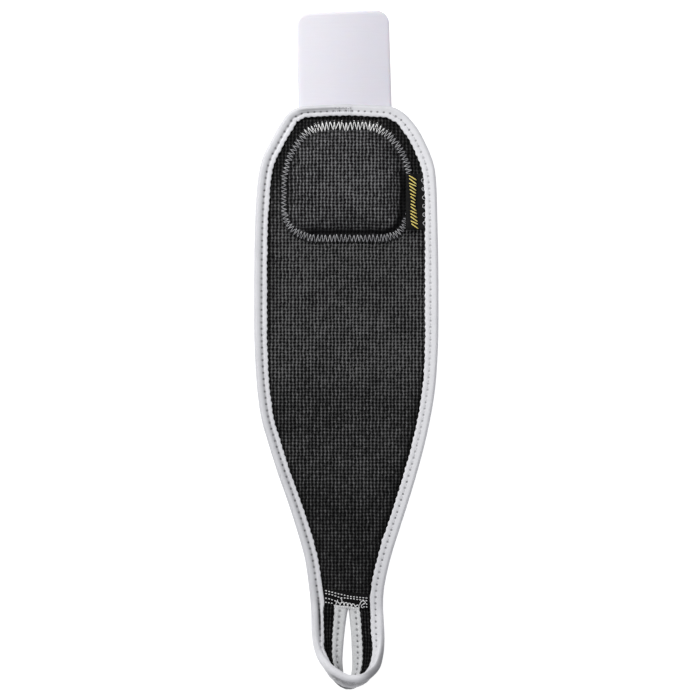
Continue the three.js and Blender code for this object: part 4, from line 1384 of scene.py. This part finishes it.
# A thick zigzag holds the ends of the slit tape: six uneven arches, and a row of close stitches at their feet
rng = np.random.default_rng(21)
bartack_from = -4.9
bartack_to = 6.6
bartack_arches = 6
bartack_beads = 11
bartack_thread = 0.55
bartack_height = 4.25
starts, ends = [], []
for i in range(bartack_arches):
    pace = (bartack_to - bartack_from) / bartack_arches
    x = bartack_from + pace * i
    arch = [(0.0, -3.9), (0.15, -2.5), (0.55 * pace, -2.05), (0.8 * pace, -2.6), (pace, -3.8)]
    arch = [
        (x + a + rng.normal(0, 0.12), seam_line(x + a) + b + rng.normal(0, 0.2), bartack_height)
        for a, b in arch
    ]
    starts += arch[:-1]
    ends += arch[1:]
for i in range(bartack_beads):
    x = bartack_from + (bartack_to - bartack_from) * (i + 0.5) / bartack_beads
    y = seam_line(x) - 4.2 + rng.normal(0, 0.12)
    starts += [(x - 0.6, y + 0.1, 4.2), (x - 0.6, y - 0.35, 4.1)]
    ends += [(x + 0.6, y, 4.2), (x + 0.6, y - 0.5, 4.1)]
sew("slit_bartack", starts, ends, (0, 0, 1), bartack_thread, rise=0.3, dip=0.2, finish=bright_thread)


def thread_tube(line, thickness):
    """Points and faces of a loose end of thread along a smooth line."""
    sides = 6
    spots, _ = evenly(through(line, np.linspace(0, 1, 200)), 0.22)
    run = unit(np.gradient(spots, axis=0))
    side = unit(np.cross(run, (0, 0, 1)))
    up = np.cross(side, run)
    turns = np.linspace(0, 2 * math.pi, sides + 1)[:-1]
    rows = [spots + (side * math.cos(t) + up * math.sin(t)) * thickness / 2 for t in turns]
    return np.stack(rows, axis=1).reshape(-1, 3), sweep_faces(len(spots), sides, False)


# The zigzag's loose ends curl up on the tape: across, above the seam, and height
curl_thread = 0.42
curl_lines = [
    [(6.6, -2.55, 4.4), (7.2, -1.03, 4.5), (8.0, -0.1, 4.6), (9.2, -0.17, 4.6), (9.5, -0.73, 4.5),
     (8.9, -1.5, 4.5), (7.9, -2.1, 4.6), (7.6, -2.7, 4.5), (7.7, -3.4, 4.4), (8.5, -3.45, 4.3)],
    [(-5.9, -5.4, 4.2), (-5.6, -4.4, 4.4), (-5.2, -3.4, 4.5), (-4.8, -2.3, 4.6), (-4.2, -1.1, 4.6)],
    [(-2.9, 0.0, 4.4), (-2.2, -0.8, 4.5), (-2.2, -1.6, 4.5), (-2.4, -2.3, 4.4)],
]
points, faces = [], []
for line in curl_lines:
    knots = np.array([(x, seam_line(x) + above, z) for x, above, z in line])
    some, some_faces = thread_tube(knots, curl_thread)
    faces += [[i + len(points) for i in face] for face in some_faces]
    points += some.tolist()
make_piece("thread_curls", points, faces, bright_thread)

# The pad: a foam disc under its own cover of the same mesh, laid on the panel and sewn down through a flat
# border with a wide zigzag. The foam swells the cover, which is why it is settled by a cloth simulation.
pad_right = 33.4
pad_border = 4.6
pad_rim = 0.4  # the cover's own thickness at its cut edge
pad_flange = 1.0
pad_height = 6.0
pad_lift = 0.1  # over the panel's face
# The cutter's marks round the pad, across and down, from the middle of its top
pad_knots = [
    (0, -8.5), (8, -8.5), (13.5, -8.9), (18.1, -10.6), (22.9, -14.3), (25.7, -17.5), (28.4, -21.3),
    (30.7, -26.1), (32.4, -30.4), (33.2, -35), (33.4, -42), (33.1, -50), (32.2, -56.5), (30.3, -61.6),
    (26.7, -66.1), (21.4, -68.5), (12, -69.1), (0, -69.1), (-12, -69.1), (-20, -68.5), (-25.4, -66.3),
    (-29.6, -62.2), (-32.2, -56.9), (-32.8, -50), (-32.7, -42.5), (-32.4, -36.9), (-31.6, -31.5),
    (-30.1, -26.1), (-27.8, -21.4), (-24.3, -16.5), (-20.6, -12.4), (-15.8, -9.7), (-8, -8.5),
]
pad_line, pad_round = evenly(through(pad_knots, np.linspace(0, 1, 4000)[:-1], True), 0.3, True)
ahead = np.roll(pad_line, -1, axis=0) - np.roll(pad_line, 1, axis=0)
pad_inwards = unit(np.column_stack([ahead[:, 1], -ahead[:, 0]]))


def pad_face(depth):
    """The pad's height over the panel, as it is cut: a stitched flat border, then the foam."""
    crease = 0.2 * np.exp(-((depth - pad_border) / 0.7) ** 2)
    flange = pad_rim + (pad_flange - pad_rim) * smooth(depth / 2.4) - crease
    rise = np.interp((depth - pad_border) / 26, [0, 0.05, 0.14, 0.3, 0.6, 1], [0, 0.4, 0.68, 0.87, 0.97, 1])
    return flange + (pad_height - pad_flange) * rise * (depth > pad_border)


# Its mesh lies on the same cells as the panel's
pad_first_column = 8
pad_first_row = 4
pad_columns = 38
pad_rows = 36
pad_low = (panel_low[0] + pad_first_column * cell, panel_high[1] - (pad_first_row + pad_rows) * cell)
pad_high = (pad_low[0] + pad_columns * cell, panel_high[1] - pad_first_row * cell)
lattice_x, lattice_y = grid_points(pad_low, pad_high, pad_columns + 1, pad_rows + 1)
lattice_depth, _ = depth_on_grid(lattice_x, lattice_y, pad_line, pad_inwards)
lattice_rest = pad_face(np.maximum(lattice_depth, 0))
lattice_form = np.stack([lattice_x, lattice_y, lattice_rest], axis=2)


def settle_foam(form, depth):
    """Blows the cover up a little over the foam, ten times its size, with its border held by the stitches."""
    size = 10 / 1000
    kept = np.ones((form.shape[0] - 1, form.shape[1] - 1), bool)
    floor_form = form.copy()
    floor_form[:, :, 2] = -1.0
    points, faces, count, upper_ids, _ = cloth_slab(kept, 1, form * (1, 1, 0.9), floor_form)
    mesh = bpy.data.meshes.new("foam_trial")
    mesh.from_pydata((points * size).tolist(), [], [tuple(int(i) for i in face) for face in faces])
    trial = bpy.data.objects.new("foam_trial", mesh)
    scene.collection.objects.link(trial)
    made = bmesh.new()
    made.from_mesh(mesh)
    bmesh.ops.recalc_face_normals(made, faces=made.faces)
    made.to_mesh(mesh)
    made.free()
    held = trial.vertex_groups.new(name="held")
    free = upper_ids[depth > pad_border + 0.2]
    held.add([int(i) for i in set(range(len(points))) - set(free.tolist())], 1.0, "REPLACE")
    cloth = trial.modifiers.new("cloth", "CLOTH")
    cloth.settings.quality = 8
    cloth.settings.mass = 0.3
    cloth.settings.tension_stiffness = 25
    cloth.settings.compression_stiffness = 25
    cloth.settings.shear_stiffness = 10
    cloth.settings.bending_stiffness = 1.5
    cloth.settings.use_pressure = True
    cloth.settings.uniform_pressure_force = 4.0
    cloth.settings.shrink_min = -0.012
    cloth.settings.vertex_group_mass = "held"
    cloth.settings.effector_weights.gravity = 0
    cloth.collision_settings.use_collision = False
    cloth.point_cache.frame_start = 1
    cloth.point_cache.frame_end = 20
    for step in range(1, 21):
        scene.frame_set(step)
    settled = trial.evaluated_get(bpy.context.evaluated_depsgraph_get()).to_mesh()
    out = np.empty(len(settled.vertices) * 3)
    settled.vertices.foreach_get("co", out)
    out = out.reshape(-1, 3)[:count] / size
    scene.frame_set(1)
    bpy.data.objects.remove(trial)
    moved = out.reshape(form.shape) - form
    moved = np.clip(moved, (-0.5, -0.5, -0.9), (0.5, 0.5, 0.45))
    return form + moved


lattice_form = settle_foam(lattice_form, lattice_depth)


def between(lattice, steps):
    """The lattice at thirds of its squares, on smooth curves through its points."""
    def widen(rows):
        marks = np.concatenate([2 * rows[:1] - rows[1:2], rows, 2 * rows[-1:] - rows[-2:-1]])
        out = []
        for k in range(len(rows) - 1):
            a, b, c, d = marks[k:k + 4]
            for s in range(steps):
                t = s / steps
                turn = 2 * a - 5 * b + 4 * c - d + t * (3 * (b - c) + d - a)
                out.append(b + 0.5 * t * (c - a + t * turn))
        out.append(rows[-1])
        return np.array(out)
    return widen(widen(lattice).transpose(1, 0, 2)).transpose(1, 0, 2)


settled = between(lattice_form, 3)
flat_x, flat_y = grid_points(pad_low, pad_high, pad_columns * 3 + 1, pad_rows * 3 + 1)
pad_depth, nearest = depth_on_grid(flat_x, flat_y, pad_line, pad_inwards)
border = smooth((pad_border + 0.9 - pad_depth) / 0.9)
pad_z = settled[:, :, 2] * (1 - border) + pad_face(np.maximum(pad_depth, 0)) * border
shift = (settled[:, :, :2] - np.stack([flat_x, flat_y], axis=2)) * (1 - border)[:, :, None]
square_x = (flat_x[:-1, :-1] + flat_x[1:, 1:]) / 2
square_y = (flat_y[:-1, :-1] + flat_y[1:, 1:]) / 2
square_depth, _ = depth_on_grid(square_x, square_y, pad_line, pad_inwards)
pad_kept = square_depth > 0
# The outermost points of the kept squares move on to the pad's outline
used = np.zeros(flat_x.shape, int)
for a in range(2):
    for b in range(2):
        used[a:used.shape[0] - 1 + a, b:used.shape[1] - 1 + b] += pad_kept
at_edge = (used > 0) & (used < 4)
snapped = np.stack([flat_x, flat_y], axis=2)
snapped[at_edge] = pad_line[nearest[at_edge.ravel()]]
pad_depth[at_edge] = 0
pad_third_across, pad_third_down = np.meshgrid(
    np.arange(pad_columns * 3 + 1) + pad_first_column * 3, np.arange(pad_rows * 3 + 1), indexing="ij",
)
sink, sway = knit_relief(pad_third_across, pad_third_down)
pressed = 0.35 + 0.65 * smooth((pad_depth - 4.4) / 2.5)
sink = sink * pressed * smooth(pad_depth / 0.8)
x = snapped[:, :, 0] + shift[:, :, 0] + sway * smooth(pad_depth / 0.8)
y = snapped[:, :, 1] + shift[:, :, 1]
base = panel_thickness + lift(x, y) + pad_lift
pad_z = np.where(at_edge, pad_rim, pad_z)
upper = np.stack([x, y, base + pad_z - sink], axis=2)
lower = np.stack([snapped[:, :, 0], snapped[:, :, 1], base], axis=2)
points, faces, _, fine_ids, coarse_ids = cloth_slab(pad_kept, 1, upper, lower)
pad_thirds = np.stack([pad_third_across, pad_third_down], axis=2)
lay = np.concatenate([pad_thirds[fine_ids >= 0], pad_thirds[coarse_ids >= 0]]) / 3
# A lighter copy of the panel's mesh: painted light on the raised pad
pad_mesh_lit = knit_finish("pad_mesh_lit", paint(124, 124, 126), paint(14, 14, 15), web=1.0)
stuffed_pad = make_piece("stuffed_pad", points, faces, pad_mesh_lit, lay)

# Painted shade on the cover near its rim and in the crease on the side away from the window, and a darker
# stitched border
to_window = np.array([-0.75, 0.85])
away_from_window = pad_inwards[nearest].reshape(*flat_x.shape, 2) @ to_window
past_crease = np.maximum(0, pad_depth - pad_border - 0.8)
crease = np.exp(-(past_crease / 1.6) ** 2) * (pad_depth > 3.4) * np.clip(away_from_window * 1.5, 0, 1)
shade_near_rim = 0.4 * np.exp(-past_crease / 8)
dark_border = 0.8 * (1 - smooth((pad_depth - 3.4) / 1.1))
pad_shade_and_border = np.maximum(np.maximum(crease, shade_near_rim), dark_border)
paint_shade_and_marks(stuffed_pad, np.concatenate([pad_shade_and_border[fine_ids >= 0], pad_shade_and_border[coarse_ids >= 0]]))

# The panel gets painted shade too where the pad leaves only a narrow strip of it beside the tape
from_pad, _ = depth_inside(panel_face[:, :2], pad_line, pad_inwards)
shade_beside_pad = 0.78 * (from_pad < 0.5) * smooth((panel_face[:, 1] + 56) / 26)
paint_shade_and_marks(panel_cloth, np.concatenate([np.maximum(by_the_tape, shade_beside_pad), np.zeros(panel_back_count)]))
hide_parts("pad")


def pad_spot(mark, inward):
    """A place on the pad's border, or just outside it, and its height."""
    spot = pad_line[mark] + pad_inwards[mark] * inward
    height = panel_thickness + lift(spot[0], spot[1]) + pad_lift
    if inward > 0:
        height += float(pad_face(np.array([inward]))[0])
    return (spot[0], spot[1], height)


# A wide, uneven zigzag of grey thread, longest across the top and the bottom of the pad
zigzag_pitch = 2.0
zigzag_thread = 0.37
uneven = 0.18
# The zigzag's grey thread is painted white towards the top of the guard: painted light from the window
painted_light_from = 0.106  # metres along the guard, from where the thread looks white
rng = np.random.default_rng(5)
zigzag_count = round(pad_round / zigzag_pitch)
starts, ends, outs = [], [], []
for i in range(zigzag_count):
    marks = []
    for k in (0, 0.5, 1):
        marks.append(round(((i + k) % zigzag_count) / zigzag_count * len(pad_line)) % len(pad_line))
    facing_down = -pad_inwards[marks[0]][1]
    reach = 2.9 + (1.7 if facing_down > 0 else 1.3) * abs(facing_down)
    outer_side = 0.1 - 0.3 * abs(facing_down)
    marks = [(mark + round(rng.normal(0, 0.5))) % len(pad_line) for mark in marks]
    first = pad_spot(marks[0], outer_side + rng.normal(0, uneven))
    turn = pad_spot(marks[1], reach + rng.normal(0, uneven))
    last = pad_spot(marks[2], outer_side + rng.normal(0, uneven))
    starts += [first, turn]
    ends += [turn, last]
    outs += [(0, 0, 1), (0, 0, 1)]
grey_thread = thread_finish("grey_thread", paint(206, 206, 208), paint(128, 128, 132), painted_light_from)
sew("pad_zigzag", starts, ends, outs, zigzag_thread, rise=0.9, dip=0.5, finish=grey_thread)

# The label: a short black satin ribbon, its left side over the pad's border and its right side by the edge
# tape. It bears a plain row of slanting gold strokes, and its raw edge is caught with small white loops.
label_width = 9.4
label_length = 28.0
label_drop = 34.6
label_lap = 3.95
label_slack = 0.4
label_gap = 0.35  # over the panel
label_climb = 1.25  # over the pad's border
label_rim = 0.2  # its thickness at the edges
label_middle = 0.3  # added to it in the middle
label_steps = 60
label_left = pad_right + 0.3 - label_lap
right_line = outline[outline[:, 0] > 20] + outline_inwards[outline[:, 0] > 20] * (tape_width * 0.91 + 0.1)
right_order = np.argsort(right_line[:, 1])


def label_right(y):
    """Where the label ends on its right, which is at the edge tape."""
    edge = np.interp(y, right_line[right_order, 1], right_line[right_order, 0])
    return min(label_left + label_width + label_slack, edge)


def label_bed(x):
    """The height of what the label lies on, and how much of that is the pad's border."""
    over_pad = 1 - smooth((x - label_left - label_lap + 0.6) / 2.6)
    return panel_thickness + label_gap + over_pad * label_climb, over_pad


label_shares = np.linspace(0, 1, 20)
upper_rows, lower_rows = [], []
for i in range(label_steps + 1):
    y = -label_drop - label_length * i / label_steps
    x = label_left + (label_right(y) - label_left) * label_shares
    wave = 0.07 * np.sin(y * 0.9 + x * 0.4) + 0.05 * np.sin(y * 2.1)
    edge = smooth(np.minimum(label_shares, 1 - label_shares) * 12)
    end = smooth(min(i, label_steps - i) / 2.5)
    z = label_bed(x)[0] + wave * 0.6
    face = z + label_rim + label_middle * edge * end
    upper_rows.append(np.column_stack([x, np.full_like(x, y), face]))
    lower_rows.append(np.column_stack([x, np.full_like(x, y), z])[::-1])
label_section = np.concatenate([np.array(upper_rows), np.array(lower_rows)], axis=1)
satin = Finish("black_satin", Roughness=0.6, Specular_IOR_Level=0.14)
weft = satin.noise(satin.stretched(satin.place(), (2400.0, 500.0, 900.0)), scale=1.0, detail=3.0)
_, along_satin, _ = satin.parts(satin.place())
ridges = (along_satin * 2200).wave()
satin.wear(
    satin.blend(weft * 0.8 + ridges * 0.2, paint(4, 4, 4), paint(24, 24, 25)), weft * 0.2 + 0.5,
    ridges * 0.5 + weft * 0.5, depth=0.00006,
)
woven_label = make_piece(
    "woven_label", label_section.reshape(-1, 3),
    sweep_faces(label_steps + 1, label_section.shape[1], False), satin.material,
)
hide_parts("label")

gold_thread = thread_finish("gold_thread", paint(255, 246, 158), paint(232, 206, 98))
ornament_top = -label_drop - 2.2
ornament_length = label_length - 4.0
ornament_strokes = 15
ornament_thread = 0.6
ornament_rise = 0.52  # over the label's underside
starts, ends = [], []
for i in range(ornament_strokes):
    share = i / (ornament_strokes - 1)
    swell = abs(math.cos(math.pi * share))
    half = 1.1 + 0.8 * swell
    x = label_left + 3.45 + 0.9 * share * share
    y = ornament_top - ornament_length * share
    bed, over_pad = label_bed(x)
    z = bed + ornament_rise
    slope = 0.62 + 0.16 * math.sin(i * 2.3)
    starts.append((x - half, y + half * slope, z + 0.45 * over_pad))
    ends.append((x + half, y - half * slope, z))
sew("label_ornament", starts, ends, (0, 0, 1), ornament_thread, rise=0.3, dip=0.5, finish=gold_thread)

# The loops of thread on its raw edge
label_loops = 6
loop_pitch = 4.28
loop_radius = 0.95
loop_thread = 0.3
loop_height = panel_thickness + 1.0
first_loop = 3.4  # below the label's top
loop_turns = np.linspace(-1.9, 1.9, 7) + math.pi
starts, ends = [], []
for i in range(label_loops):
    y = -label_drop - first_loop - i * loop_pitch
    x = label_right(y) - 0.1
    ring = []
    for turn in loop_turns:
        ring.append((x + loop_radius * math.cos(turn), y + loop_radius * math.sin(turn), loop_height))
    starts += ring[:-1]
    ends += ring[1:]
sew("edge_loops", starts, ends, (0, 0, 1), loop_thread, rise=0.1, dip=0.0, finish=white_thread)

# The strip's seam: two rows and two short ends of white thread that hold the hook strip under the guard's
# top. They show on the underside, on the strip.
strip_seam_side = strip_width / 2 - 2
strip_seam_top = -2.2
strip_seam_bottom = -strip_sewn + 1.8
strip_seam_height = 0.06
strip_stitch_ends = (0.12, 0.88)
seam_box = [
    (-strip_seam_side, strip_seam_top), (strip_seam_side, strip_seam_top),
    (strip_seam_side, strip_seam_bottom), (-strip_seam_side, strip_seam_bottom),
]
starts, ends = [], []
for (x0, y0), (x1, y1) in zip(seam_box, seam_box[1:] + seam_box[:1]):
    count = round(math.hypot(x1 - x0, y1 - y0) / stitch_pitch)
    for i in range(count):
        for k, into in zip(strip_stitch_ends, (starts, ends)):
            share = (i + k) / count
            into.append((x0 + (x1 - x0) * share, y0 + (y1 - y0) * share, strip_seam_height))
starts, ends = np.array(starts), np.array(ends)
starts[:, :2] = lean(starts[:, :2])
ends[:, :2] = lean(ends[:, :2])
sew("strip_stitches", starts, ends, (0, 0, -1), thread_white, rise=0.1, dip=0.6, finish=white_thread)
